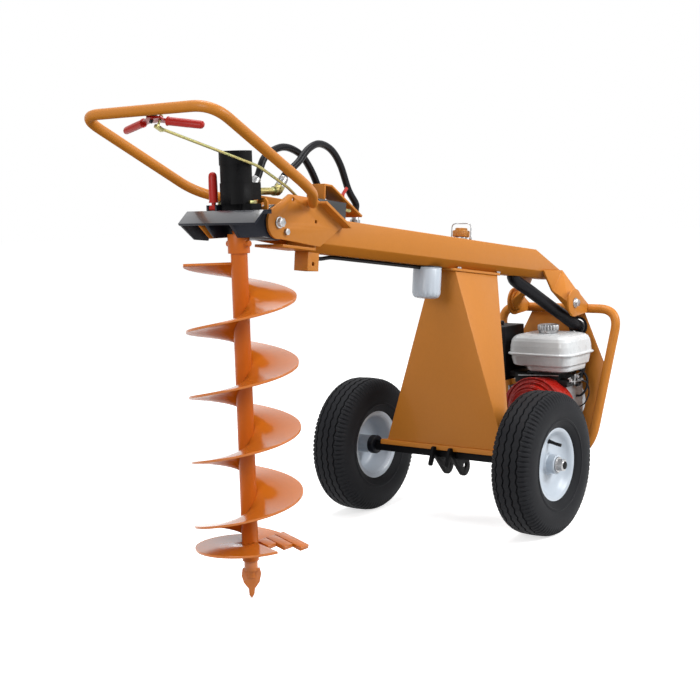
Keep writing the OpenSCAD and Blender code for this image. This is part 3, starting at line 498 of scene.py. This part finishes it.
# %% Rounded copies of the plain solids
edge_rounds = {
    "tower": 2.4, "tower_base": 1.6, "saddle": 1.5, "boom": 2.6, "boom_legs": 2.0, "frame_ears": 1.2,
    "rear_plate": 1.2, "side_plates": 1.2, "fork_floor": 1.2, "stake_pocket": 1.5, "valve_body": 1.6,
    "valve_cover": 1.4, "lever_bracket": 0.8, "control_lever": 1.2, "axle_beam": 2.0, "tow_lugs": 1.4,
    "engine_deck": 1.2, "head_frame": 1.4, "motor": 1.6, "motor_bolts": 0.7, "frame_bolts": 0.7,
    "pivot_bolt": 0.8, "axle_nuts": 1.0, "hose_ports": 0.8, "hose_fittings": 0.8, "filter_head": 1.6,
    "filler_neck": 0.8, "auger_shaft": 1.0, "auger_teeth": 1.2, "pilot_bit": 1.2, "engine_block": 3.0,
    "cylinder_head": 0.8, "gear_pump": 2.0, "detent_lever": 1.0, "plate_grommet": 1.0,
    "muffler": 6.0, "air_cleaner": 7.0, "recoil_cover": 5.0,
}
matt_black = paint("matt_black_paint", (0.004, 0.004, 0.005), (0.003, 0.003, 0.003), 0.55, shine=0.08)
shaft_paint = paint("shaft_paint", (0.56, 0.135, 0.012), (0.50, 0.110, 0.009), 0.36, shine=0.2)
# The hood gets a full coat whose gloss stays on its upper faces only: a painted sheen on the top and painted
# shade on its sides and underside.
hood_paint = paint("hood_gloss_paint", (0.010, 0.012, 0.020), (0.008, 0.010, 0.017), 0.32, 1.0, shine=0.8,
                   painted_sheen_by_facing=(0.15, 0.6, 0.12))
own_finish = {"motor": matt_black, "tow_lugs": matt_black, "axle_beam": matt_black,
              "auger_shaft": shaft_paint, "head_frame": hood_paint}


def rounded_copy(node, width):
    bm = bmesh.new()
    bm.from_mesh(solids[node].data)
    bmesh.ops.scale(bm, vec=(1000, 1000, 1000), verts=bm.verts)
    bmesh.ops.remove_doubles(bm, verts=bm.verts, dist=0.01)
    bmesh.ops.dissolve_limit(bm, angle_limit=radians(0.6), verts=bm.verts, edges=bm.edges)
    ease(bm, width)
    return hand_over(node + "_rounded", bm, slot_of_node[node], body_of_node[node], node,
                     finish=own_finish.get(node))


for node, width in edge_rounds.items():
    piece = rounded_copy(node, width)
    print(piece.name, len(piece.data.polygons), "faces")

# %% [markdown]
# ## Handle and rear hoop
# Both are bent steel tube. A curve with a round bevel gives a true bend, with the same corner
# points as the solids, and is turned into a mesh so that it can be finished like the rest.

# %% Bent tubes
def mirrored(line):
    return [Vector((p[0], -p[1], p[2])) for p in reversed(line)]


foot, knee = (-880, 70, 752), (-1050.5, 206, 764.7)
corner, middle = (BAR_X, 233, BAR_Z), (BAR_X, 0, BAR_Z)
half = [Vector(foot)] + bend(foot, knee, corner, 80) + bend(knee, corner, middle, 70)
show("handle_tube", pipe("handle_tube", half + mirrored(half), 14), "orange_paint", "chassis", "handle")

top, shoulder, heel, base = (725, 0, 519), (725, 252, 519), (725, 158, -45), (725, 0, -45)
half = [Vector(top)] + bend(top, shoulder, heel, 80) + bend(shoulder, heel, base, 130)
show("hoop_tube", pipe("hoop_tube", half + mirrored(half), 17), "orange_paint", "chassis", "rear_hoop")
print("handle and hoop are bent")

# %% [markdown]
# ## Hoses
# The two pressure hoses arch from the motor to the valve: each runs from its fitting on the head
# to the frame. The suction hose drops from the boom to the pump, and a thin hose runs under the boom.

# %% Hose runs
FITTING_LEAN = radians(40)
FEED_FITTING, RETURN_FITTING = (78, 22, 86), (150, -16, 86)
lean = Vector((sin(FITTING_LEAN), 0, cos(FITTING_LEAN)))


def in_chassis(x, y, z):
    return CHASSIS.inverted() @ (HEAD @ Vector((x, y, z)))


def head_hose(name, node, fitting, rest):
    start = [in_chassis(*(Vector(fitting) + reach * lean)) for reach in (44, 48, 60)]
    line = start[:1] + flowing(start[1:] + [Vector(p) for p in rest[:-1]]) + [Vector(rest[-1])]
    hose = show(name, pipe(name, line, 10.5), "hose_rubber", None, node)
    path = [CHASSIS @ p for p in line]
    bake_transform(hose)
    length = sum((a - b).length for a, b in zip(path, path[1:]))
    print(name, round(length, 3), "m")


head_hose("feed_hose", "hose_feed", FEED_FITTING, [
    (-982, 26, 874), (-906, 31, 911), (-830, 34, 906), (-775, 37, 874), (-728, 38, 820), (-712, 38, 774),
    (-712, 38, 768), (-712, 38, 760)])
head_hose("return_hose", "hose_return", RETURN_FITTING, [
    (-888, -15, 868), (-842, -13, 912), (-787, -8, 935), (-725, -4, 926), (-674, -1, 888), (-628, 0, 820),
    (-590, 0, 784), (-588, 0, 768), (-588, 0, 760)])


def fixed_hose(name, node, points, radius):
    line = flowing(points)
    hose = show(name, pipe(name, line, radius), "hose_rubber", "chassis", node)
    path = [CHASSIS @ p for p in line]
    length = sum((a - b).length for a, b in zip(path, path[1:]))
    print(name, round(length, 3), "m")


fixed_hose("pressure_hose", "underside_hose", [
    (-772, 0, 619), (-772, 0, 615), (-769, 0, 609), (-758, 0, 605), (-740, 0, 606), (-712, 0, 610.6),
    (-680, 0, 612.6), (-560, 0, 612.6), (-400, 0, 612.6), (-233.5, 0, 612.6)], 6)
fixed_hose("pump_hose", "suction_hose", [
    (372, 0, 619), (372, 0, 616), (380, -2, 605), (400, -8, 594), (450, -23, 572), (540, -49, 528),
    (620, -72, 490), (680, -87, 462), (725, -90, 450), (765, -88, 438), (798, -78, 410), (815, -62, 360),
    (821, -42, 300), (822, -30, 262), (822, -27, 250), (822, -27, 242)], 23)

# %% [markdown]
# ## Tyres
# The tread has zigzag ribs between grooves and a row of short cuts on each shoulder. The section
# is drawn once and spun in steps of one degree. After that the groove points move sideways in a
# zigzag, and every fourth shoulder point sinks, which is simpler than modelling each block.

# %% Tyres
half_section = [
    (233.5, 0), (233.4, 9), (226, 10.4), (226, 13.6), (233, 15), (232.3, 33), (225.4, 34.4), (225.2, 37.2),
    (231.2, 38.6), (229.6, 46), (226.2, 53), (220, 59.5), (212, 63.6), (203, 66.4), (190, 69), (176, 70),
    (162, 69.2), (150, 67.2), (147.5, 68.6), (143, 68.4), (140.5, 65.6), (131, 61.6), (124, 57.6),
    (119.4, 53.6), (113, 47.4), (104, 46.4), (102.2, 42)]
section = half_section + [(r, -h) for r, h in reversed(half_section[1:])]
SWING, DEEP_CUT, EDGE_CUT = 2.6, 6.0, 3.5


def tread(bm):
    """Swings the grooves and sinks the shoulder cuts."""
    for v in bm.verts:
        radius, side = hypot(v.co.x, v.co.y), abs(v.co.z)
        step = round(atan2(v.co.y, v.co.x) * 180 / pi) % 360
        if radius > 220 and (7 < side < 17 or 31 < side < 40):
            wave = abs(step % 8 - 4) / 2 - 1
            v.co.z += SWING * wave * (1 if side < 20 else -1)
        if 44 < side < 65 and radius > 205 and step % 4 == 0:
            cut = 1 - (DEEP_CUT if side > 50 else EDGE_CUT) / radius
            v.co.x, v.co.y = v.co.x * cut, v.co.y * cut


for word, side in (("near", -1), ("far", 1)):
    bm = turned(section, steps=360)
    tread(bm)
    piece = hand_over(f"tyre_tread_{word}", bm, "tyre_rubber", f"{word}_wheel", f"tyre_{word}",
                      place=wheel_frame(side), crease=24)
    print(piece.name, len(piece.data.polygons), "faces")

# %% [markdown]
# ## Rims and hubs
# The rims are two pressings welded into a white dish, with a curled flange that holds the bead.
# A spun section gives the flange, well and bowl in one go. The black valve stem leans out of the
# bowl, and the hub carries a dark grease seal on its inner end.

# %% Rims
dish = [
    (119.4, 52), (121, 50), (121, 47.6), (117, 46.6), (106, 45.4), (101.9, 43.6), (101.8, 36), (100, 22),
    (92, 14), (92, -14), (100, -22), (101.8, -36), (101.9, -43.6), (106, -45.4), (117, -46.6), (121, -47.6),
    (121, -50), (119.4, -52), (113, -51.4), (106, -48), (99, -42), (96.5, -34), (94, -20), (88, -13), (86, 2),
    (82, 12), (74, 17), (62, 18), (31.2, 18), (31.2, 24), (50, 24), (64, 24.3), (74, 26), (83, 29.2),
    (91, 33.8), (97, 39), (101.5, 44.6), (106.5, 49), (113, 51.6)]
hub = [(15, -56), (29, -56), (31, -54), (31, 17.5), (34.5, 19.5), (36, 24.3), (34, 27.5), (31, 30), (31, 54),
       (29, 56), (15, 56)]
grease_seal = [(14.5, -56.8), (27, -56.8), (30, -55.6), (32.4, -52), (32.4, -34), (31.05, -32), (31.05, -55)]
axle_tip = [(0, -8), (14.9, -8), (14.9, 0.6), (13.4, 2), (3.2, 2), (2.4, -1.2), (0, -1.6)]
foot_at, tip_at = Vector((-4, 74, 27)), Vector((-2, 66, 56))
for word, side in (("near", -1), ("far", 1)):
    place = wheel_frame(side)
    hand_over(f"rim_{word}", turned(dish, 96), "white_paint", f"{word}_wheel", f"wheel_{word}",
              place=place, crease=40)
    hand_over(f"hub_barrel_{word}", turned(hub, 64), "white_paint", f"{word}_wheel", f"hub_{word}",
              place=place)
    hand_over(f"hub_seal_{word}", turned(grease_seal, 64), "black_paint", f"{word}_wheel", place=place)
    bm = bmesh.new()
    rod(bm, foot_at, tip_at, 6.2, 20, 5.0)
    rod(bm, tip_at - Vector((0.4, -0.4, 2)), tip_at + Vector((2.4, -2.8, 13)), 5.6, 12)
    rod(bm, foot_at - Vector((0, 0, 3)), foot_at + Vector((0.6, -0.7, 3)), 9, 20, 7)
    ease(bm, 0.8)
    hand_over(f"valve_stem_{word}", bm, "black_plastic", f"{word}_wheel", place=place)
    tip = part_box("axle_nuts")[1].y * 1000
    outer = Matrix.Translation((0, 0, tip - 1000 * HALF_TRACK))
    hand_over(f"axle_end_{word}", turned(axle_tip, 48, closed=False), "zinc", "chassis", place=place @ outer)
print("rims, hubs, valve stems and axle ends done")

# %% [markdown]
# ## Auger flight
# The flight is a steel ribbon wound round the tube. A radial edge is spun with a rise per step,
# which leaves a helical sheet, and the sheet is then given its thickness. A second, flatter half
# turn at the tip carries the load of the cutting edge.

# %% Flight
FLIGHT_PLATE = 7


def flight(turns, lower, angle, pitch, steps=72):
    """A helical sheet, in millimetres, given the thickness of its plate."""
    bm = bmesh.new()
    begin = radians(angle)
    ends = [bm.verts.new((r * cos(begin), r * sin(begin), lower)) for r in (22.6, 60, 100, 140, 151.2, 152.5)]
    edges = [bm.edges.new(pair) for pair in zip(ends, ends[1:])]
    count = round(turns * steps)
    bmesh.ops.spin(bm, geom=ends + edges, cent=(0, 0, 0), axis=(0, 0, 1), dvec=(0, 0, pitch * turns / count),
                   angle=2 * pi * turns, steps=count)
    bmesh.ops.remove_doubles(bm, verts=bm.verts, dist=0.002)
    bmesh.ops.recalc_face_normals(bm, faces=bm.faces)
    if sum(f.normal.z for f in bm.faces) < 0:
        bmesh.ops.reverse_faces(bm, faces=bm.faces)
    bmesh.ops.solidify(bm, geom=bm.faces, thickness=FLIGHT_PLATE)
    return bm


lowest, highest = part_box("auger_flight")
for name, nodes, turns, lower, angle, pitch in (("flight_long", ["auger_flight"], 4.39, 146.5, 0, 180),
                                                ("flight_lead", [], 0.58, 144, 42, 35)):
    bm = flight(turns, lower, angle, pitch)
    ease(bm, 1.2, angle=60)
    piece = hand_over(name, bm, "auger_paint", "auger", *nodes, place=DRILL, crease=40)
    reach = [(piece.matrix_world @ v.co).z for v in piece.data.vertices]
    print(name, "z", round(min(reach), 3), "to", round(max(reach), 3),
          "solid", round(lowest.z, 3), round(highest.z, 3))

# %% [markdown]
# ## Fuel tank and its cap
# The tank is two pressed shells that meet at a folded seam. A rounded rectangle is extruded level
# by level, and each level is drawn in by its own amount, which gives the dome, the seam lip and
# the tapered belly in one closed skin. The cap is spun, and its rim points move in and out to
# make the finger grips.

# %% Fuel tank
def stacked(half_x, half_y, corner, levels):
    """A rounded rectangle, raised through levels of height and inset."""
    bm = bmesh.new()
    bmesh.ops.create_grid(bm, x_segments=1, y_segments=1, size=1)
    bmesh.ops.scale(bm, vec=(half_x, half_y, 1), verts=bm.verts)
    bmesh.ops.bevel(bm, geom=bm.verts[:], offset=corner, affect="VERTICES", segments=10, profile=0.5,
                    material=-1)
    face = bm.faces[:][0]
    height, inset = levels[0]
    bmesh.ops.scale(bm, vec=((half_x - inset) / half_x, (half_y - inset) / half_y, 1), verts=face.verts)
    bmesh.ops.translate(bm, vec=(0, 0, height), verts=face.verts)
    for next_height, next_inset in levels[1:]:
        made = bmesh.ops.extrude_face_region(bm, geom=[face])["geom"]
        face = [f for f in made if isinstance(f, bmesh.types.BMFace)][0]
        shrink = ((half_x - next_inset) / (half_x - inset), (half_y - next_inset) / (half_y - inset), 1)
        bmesh.ops.scale(bm, vec=shrink, verts=face.verts)
        bmesh.ops.translate(bm, vec=(0, 0, next_height - height), verts=face.verts)
        height, inset = next_height, next_inset
    return bm


TANK_TOP = 374
tank_levels = [(257, 26), (258, 20), (262, 15.5), (280, 12), (294, 10), (297, 8), (298, 2), (299, 0.4),
               (303, 0), (304.5, 1.6), (305, 5), (307, 6.5), (330, 8), (348, 11), (359, 16), (366.5, 25),
               (371, 38), (373.4, 54), (TANK_TOP, 72)]
bm = stacked(118, 133, 44, tank_levels)
belly = stacked(90, 91, 40, [(234, 14), (235, 8), (239, 3), (247, 0.5), (259, 0)])
bmesh.ops.translate(belly, vec=(6, -18, 0), verts=belly.verts)
join(bm, belly)
hand_over("fuel_tank_shells", bm, "tank_white", "chassis", "fuel_tank", place=DECK, crease=44)


def fluted(profile, flutes, depth, low, high, outer, steps):
    """A spun piece whose rim, between two heights and past a radius, is cut into finger grips."""
    bm = turned(profile, steps, closed=False)
    for v in bm.verts:
        radius = hypot(v.co.x, v.co.y)
        if radius > outer and low < v.co.z < high:
            cut = 1 - depth * (0.5 + 0.5 * cos(flutes * atan2(v.co.y, v.co.x))) ** 2 / radius
            v.co.x, v.co.y = v.co.x * cut, v.co.y * cut
    return bm


cap = [(0, 0.4), (33, 0.4), (35, 2), (35, 9), (38, 10.5), (39, 13), (39, 26), (38, 29.5), (35, 31.6),
       (30, 32.2), (27, 31), (14, 30.4), (12, 31.6), (0, 32)]
bm = fluted(cap, 20, 5.0, 9.5, 31, 33, 160)
hand_over("fuel_cap_grip", bm, "zinc", "tank_cap", "fuel_cap",
          place=DECK @ Matrix.Translation((-18, 0, TANK_TOP)), crease=40)
print("tank and cap made")

# %% [markdown]
# ## Oil filter, filler cap and bail
# The filter is a white spin-on can with a domed end and a fluted wrench ring. The filler cap on
# the boom is a knurled moulding under a hinged wire loop, made from a bent wire with an eye at
# each end.

# %% Oil service pieces
can = [(0, 1.2), (18, 1.4), (30, 2.4), (38, 5), (43, 10), (46.0, 18), (46.5, 24), (46.5, 95), (45.4, 97.5),
       (46.5, 99.5), (46.5, 102.6), (44, 103), (0, 103)]
bm = fluted(can, 15, 2.6, 4, 20, 36, 120)
hand_over("filter_can", bm, "white_paint", "chassis", "oil_filter",
          place=CHASSIS @ Matrix.Translation((-185, 0, 512)))

FILLER_X, EYE_Y, EYE_Z, LOOP_Z = 10, 38, 725, 776
lid = [(0, 0.3), (27, 0.3), (29, 2), (29, 19), (27.6, 21.6), (24, 22.6), (21, 23), (20.6, 28.6), (19, 30.2),
       (0, 30.3)]
bm = fluted(lid, 30, 1.6, 1, 21, 26, 180)
hand_over("filler_cap_knurl", bm, "amber", "reservoir_cap", "filler_cap",
          place=CHASSIS @ Matrix.Translation((FILLER_X, 0, 730)))

eye_at, crown = Vector((FILLER_X, EYE_Y, EYE_Z)), (FILLER_X, EYE_Y, LOOP_Z)
half = [eye_at] + bend((FILLER_X, EYE_Y, 720), crown, (FILLER_X, 0, LOOP_Z), 16)
half.append(Vector((FILLER_X, 0.5, LOOP_Z)))
wire = pipe("bail_wire", half + mirrored(half), 2, sides=3)
bm = bmesh.new()
bm.from_mesh(wire)
bmesh.ops.transform(bm, matrix=CHASSIS.inverted(), verts=bm.verts)
for side in (-1, 1):
    rod(bm, (FILLER_X, side * EYE_Y - 3, EYE_Z), (FILLER_X, side * EYE_Y + 3, EYE_Z), 4.5, 20)
hand_over("bail_loop", bm, "zinc", "bail", "cap_bail", place=CHASSIS)
bpy.data.meshes.remove(wire)
print("filter, filler cap and bail made")

# %% [markdown]
# ## Grips, control rod and starter handle
# Every lever end is dipped in red vinyl: a rod with a rounded nose and a thicker lip at its root.
# Spinning the outline of the dip gives all of them. The control rod is a bent wire with a block
# and pin at one end and the round spool at the other. The starter grip is a T with finger hollows.

# %% Grips
def dipped(length, radius, lip=1.2):
    return [(0, 0), (radius + lip, 0.2), (radius + lip, 3), (radius, 4.6), (radius * 1.02, length * 0.5),
            (radius * 0.97, length - radius), (radius * 0.86, length - radius * 0.5),
            (radius * 0.55, length - radius * 0.15), (0, length)]


PIVOT_X, ROD_PIN_Y, SPOOL_START = 34, -30, (-885, -40, 752)
lay_down = Matrix.Rotation(radians(90), 4, "Y")
bm = bmesh.new()
for side in (-1, 1):
    arm = turned(dipped(103, 9.6), 32, closed=False)
    bmesh.ops.scale(arm, vec=(1.12, 0.96, 1), verts=arm.verts)
    turn = Matrix.Rotation(radians(side * 72), 4, "Z") @ Matrix.Translation((44, 0, 0)) @ lay_down
    bmesh.ops.transform(arm, matrix=Matrix.Translation((PIVOT_X, 0, -6)) @ turn, verts=arm.verts)
    join(bm, arm)
hand_over("lever_grip_pair", bm, "grip_red", "lever", "lever_grips", place=BAR)

bm = turned(dipped(83, 12), 36, closed=False)
bmesh.ops.translate(bm, vec=(0, 0, 14), verts=bm.verts)
rod(bm, (0, 0, 0), (0, 0, 16), 6, 20)
rod(bm, (0, -12, 0), (0, 12, 0), 7, 24)
hand_over("latch_grip", bm, "grip_red", "latch", "latch_lever",
          place=HEAD @ Matrix.Translation((-30, 58, 44.3)))

line = [BAR @ Vector((36, ROD_PIN_Y, -30))]
line += [CHASSIS @ Vector(p) for p in ((-1098, -53.5, 830), (-972, -52, 788), SPOOL_START)]
line = [1000 * p for p in line]
wire = pipe("rod_wire", [line[0]] + bend(*line[:3], 20) + bend(*line[1:], 20) + [line[3]], 4, place=MM)
bm = bmesh.new()
bm.from_mesh(wire)
bmesh.ops.scale(bm, vec=(1000, 1000, 1000), verts=bm.verts)
to_mm = MM.inverted()
spool = turned([(0, 0), (5.4, 0), (6, 0.8), (6, 214.4), (5.2, 215), (0, 215)], 32, closed=False)
spool_at = to_mm @ CHASSIS @ Matrix.Translation(SPOOL_START) @ lay_down
bmesh.ops.transform(spool, matrix=spool_at, verts=spool.verts)
pin = bmesh.new()
rod(pin, (PIVOT_X, ROD_PIN_Y, -32), (PIVOT_X, ROD_PIN_Y, 1), 3, 20)
rod(pin, (PIVOT_X, ROD_PIN_Y, 0.4), (PIVOT_X, ROD_PIN_Y, 3.4), 5.2, 20)
brick(pin, (27, -36, -34), (52, -24, -25))
ease(pin, 0.8)
bmesh.ops.transform(pin, matrix=to_mm @ BAR, verts=pin.verts)
for part in (spool, pin):
    join(bm, part)
bpy.data.meshes.remove(wire)
hand_over("control_rod_bent", bm, "yellow_zinc", "rod", "control_rod")

bm = turned([(0, 0), (7, 0.3), (9.4, 2.5), (10, 7), (9.2, 14), (8.6, 21), (9, 26), (9.8, 28), (9, 30),
             (8.6, 35), (9.2, 42), (10, 49), (9.4, 53.5), (7, 55.7), (0, 56)], 32, closed=False)
across = Matrix.Translation((-48, -28, 0)) @ Matrix.Rotation(radians(-90), 4, "X")
bmesh.ops.transform(bm, matrix=across, verts=bm.verts)
rod(bm, (-42, 0, 0), (-0.3, 0, 0), 5, 20, 4)
hand_over("starter_grip_tee", bm, "black_plastic", "starter_grip", "recoil_grip",
          place=DECK @ Matrix.Translation((-176, -56, 126)))
print("grips, rod and starter handle made")

# %% [markdown]
# ## Hose ends
# A pressed hose end has a crimped sleeve: a steel tube squeezed in rings until it bites into the
# hose. The outline of one sleeve, with its rings, is spun and set on each fitting, and a bent
# elbow with a round back joins it to its nut.

# %% Crimped sleeves
sleeve = [(10.6, 14), (13.6, 14), (13.9, 16), (13.9, 20), (12.9, 21), (12.9, 23)]
for ring in range(4):
    low = 24 + 5 * ring
    sleeve += [(13.5, low), (13.5, low + 2.6), (12.6, low + 3.4), (12.6, low + 4.4)]
sleeve += [(13.4, 44.6), (13.0, 46.4), (10.6, 46.6)]
for name, fitting in (("feed", FEED_FITTING), ("return", RETURN_FITTING)):
    tilt = Matrix.Translation(fitting) @ Matrix.Rotation(FITTING_LEAN, 4, "Y")
    hand_over(f"{name}_sleeve", turned(sleeve, 48), "zinc", "head", place=HEAD @ tilt, crease=28)
    x, y, z = fitting
    nut, turn_at = Vector((x - 18, y, z)), Vector((x + 3, y, z))
    elbow = [nut] + bend(nut, turn_at, turn_at + 20 * lean, 17, 16)
    show(f"{name}_elbow", pipe(f"{name}_elbow", elbow, 13.2, place=HEAD), "yellow_zinc", "head")
print("hose ends crimped")

# %% [markdown]
# ## Under the tank
# Between tank and fan cover sit the dark parts of the throttle: a bracket, a lever on a plate,
# thin rods with a spring, and the fuel line. They are small, but without them the tank seems to
# float on a plain block. Bricks with eased edges and thin bent wires are enough at this size.

# %% Throttle parts
bm = bmesh.new()
brick(bm, (-64, -66, 180), (74, 66, 234))
brick(bm, (-72, -104, 184), (36, -64, 206))
brick(bm, (-50, -112, 196), (-8, -84, 222))
brick(bm, (-74, 40, 190), (-40, 112, 226))
prism(bm, [(58, -92, 236), (80, -92, 236), (34, -92, 176), (8, -92, 176)], (0, -12, 0))
ease(bm, 2.4)
hand_over("throttle_bracket", bm, "black_plastic", "chassis", place=DECK)

bm = bmesh.new()
links = (((-70, -108, 214), (64, -98, 226), 2.4), ((-60, -112, 204), (52, -106, 192), 2.0),
         ((-30, -112, 190), (-22, -110, 226), 2.6), ((-76, 96, 218), (-74, -70, 224), 2.2))
for start, finish, radius in links:
    rod(bm, start, finish, radius, 12)
for x, y, z in ((-64, -112, 209), (-10, -113, 216), (40, -104, 198)):
    rod(bm, (x, y, z), (x, y - 7, z), 5.5, 6)
    rod(bm, (x, y, z), (x, y - 2, z), 7.5, 24)
ease(bm, 0.5)
hand_over("throttle_rods", bm, "zinc", "chassis", place=DECK)

coil = [Vector((-56 + 2.4 * k / 4, -108 + 4 * cos(k * pi / 8), 199 + 4 * sin(k * pi / 8)))
        for k in range(145)]
show("throttle_spring", pipe("throttle_spring", coil, 0.9, place=DECK, sides=2), "zinc", "chassis")
fuel_line = flowing([(52, -70, 240), (54, -100, 226), (56, -118, 204), (48, -122, 170), (40, -106, 142),
                     (38, -84, 136)])
show("fuel_line", pipe("fuel_line", fuel_line, 4.2, place=DECK), "hose_rubber", "chassis")
stop_wire = flowing([(20, -94, 196), (44, -120, 190), (62, -124, 150), (56, -112, 112), (62, -92, 96),
                     (66, -83.5, 92)])
show("stop_wire", pipe("stop_wire", stop_wire, 2.6, place=DECK), "black_plastic", "chassis")
print("throttle parts, spring, fuel line and stop wire made")

# %% [markdown]
# ## Fan cover ribs
# The red fan cover is pressed with rings round the starter, which stiffen the sheet. Each ring is
# a small half-round bead, spun round the crank and sunk into the face that carries it.

# %% Ribs
bm = bmesh.new()
for face_x, radius, size in ((-176, 40, 3), (-176, 60, 3), (-164, 81, 3), (-142, 96, 3.4), (-136, 111, 3.4)):
    ring = turned([(radius + size * cos(k * pi / 6), size * sin(k * pi / 6)) for k in range(12)], 72)
    bmesh.ops.translate(ring, vec=(0, 0, -face_x), verts=ring.verts)
    join(bm, ring)
to_front = Matrix.Translation((0, 0, 108)) @ Matrix.Rotation(radians(-90), 4, "Y")
hand_over("fan_cover_ribs", bm, "engine_red", "chassis", place=DECK @ to_front)
print("ribs pressed")

# %% [markdown]
# ## Far side of the engine
# The air cleaner is a moulded box with a deeper lid, louvres on its open face and a knob that
# holds the lid. The pump is a stack of three plates, drawn together by four bolts.

# %% Air cleaner and pump dress
bm = bmesh.new()
brick(bm, (-93.6, 140.6, 334), (48.6, 263.6, 397.4))
for k in range(6):
    brick(bm, (-72, 260, 216 + 18 * k), (27, 264, 225 + 18 * k))
ease(bm, 2.2)
rod(bm, (-22, 202, 396), (-22, 202, 403), 12, 24)
rod(bm, (-22, 202, 402), (-22, 202, 412), 17, 8, 13)
hand_over("cleaner_lid", bm, "black_plastic", "chassis", place=DECK)

bm = bmesh.new()
for x in (196, 252):
    brick(bm, (x, -15.4, 60.6), (x + 4, 55.4, 151.4))
ease(bm, 0.8)
hand_over("pump_seams", bm, "iron", "chassis", place=DECK)
bm = bmesh.new()
for y in (-4, 44):
    for z in (72, 140):
        rod(bm, (278.6, y, z), (280.4, y, z), 8.4, 24)
        rod(bm, (280, y, z), (286, y, z), 6.6, 6)
ease(bm, 0.5)
hand_over("pump_bolts", bm, "zinc", "chassis", place=DECK)
print("air cleaner and pump dressed")

# %% [markdown]
# ## Tab and rib on the head
# Between motor and fork stands a small orange tab with a hole, welded to the near arm. Its outline
# and its hole are two loops of edges. Filling between them leaves the hole open, and the sheet is
# then pushed to its thickness. An orange rib closes the dark space under the hood.

# %% Tab with a hole
bm = bmesh.new()
edges = []
tab = [(-50, 26), (-14, 26), (-14, 58), (-22, 68), (-42, 68), (-50, 58)]
hole = [(-32 + 7 * cos(k * pi / 16), 51 + 7 * sin(k * pi / 16)) for k in range(32)]
for loop in (tab, hole):
    ring = [bm.verts.new((66, y, z)) for y, z in loop]
    edges += [bm.edges.new(pair) for pair in zip(ring, ring[1:] + ring[:1])]
filled = bmesh.ops.triangle_fill(bm, use_beauty=True, edges=edges)["geom"]
faces = [g for g in filled if isinstance(g, bmesh.types.BMFace)]
pushed = bmesh.ops.extrude_face_region(bm, geom=faces)["geom"]
bmesh.ops.translate(bm, vec=(6, 0, 0), verts=[v for v in pushed if isinstance(v, bmesh.types.BMVert)])
hand_over("head_tab", bm, "orange_paint", "head", place=HEAD)

bm = bmesh.new()
prism(bm, [(-82, 66, 0), (-53, 66, 29.8), (30, 66, 29.8), (30, 66, -38), (-40, 66, -38)], (0, 5, 0))
ease(bm, 0.8)
hand_over("hood_rib", bm, "orange_paint", "head", place=HEAD)
print("tab and rib cut")

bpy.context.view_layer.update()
for node, solid in solids.items():
    solid.data.materials.clear()
    solid.data.materials.append(finishes[slot_of_node[node]])
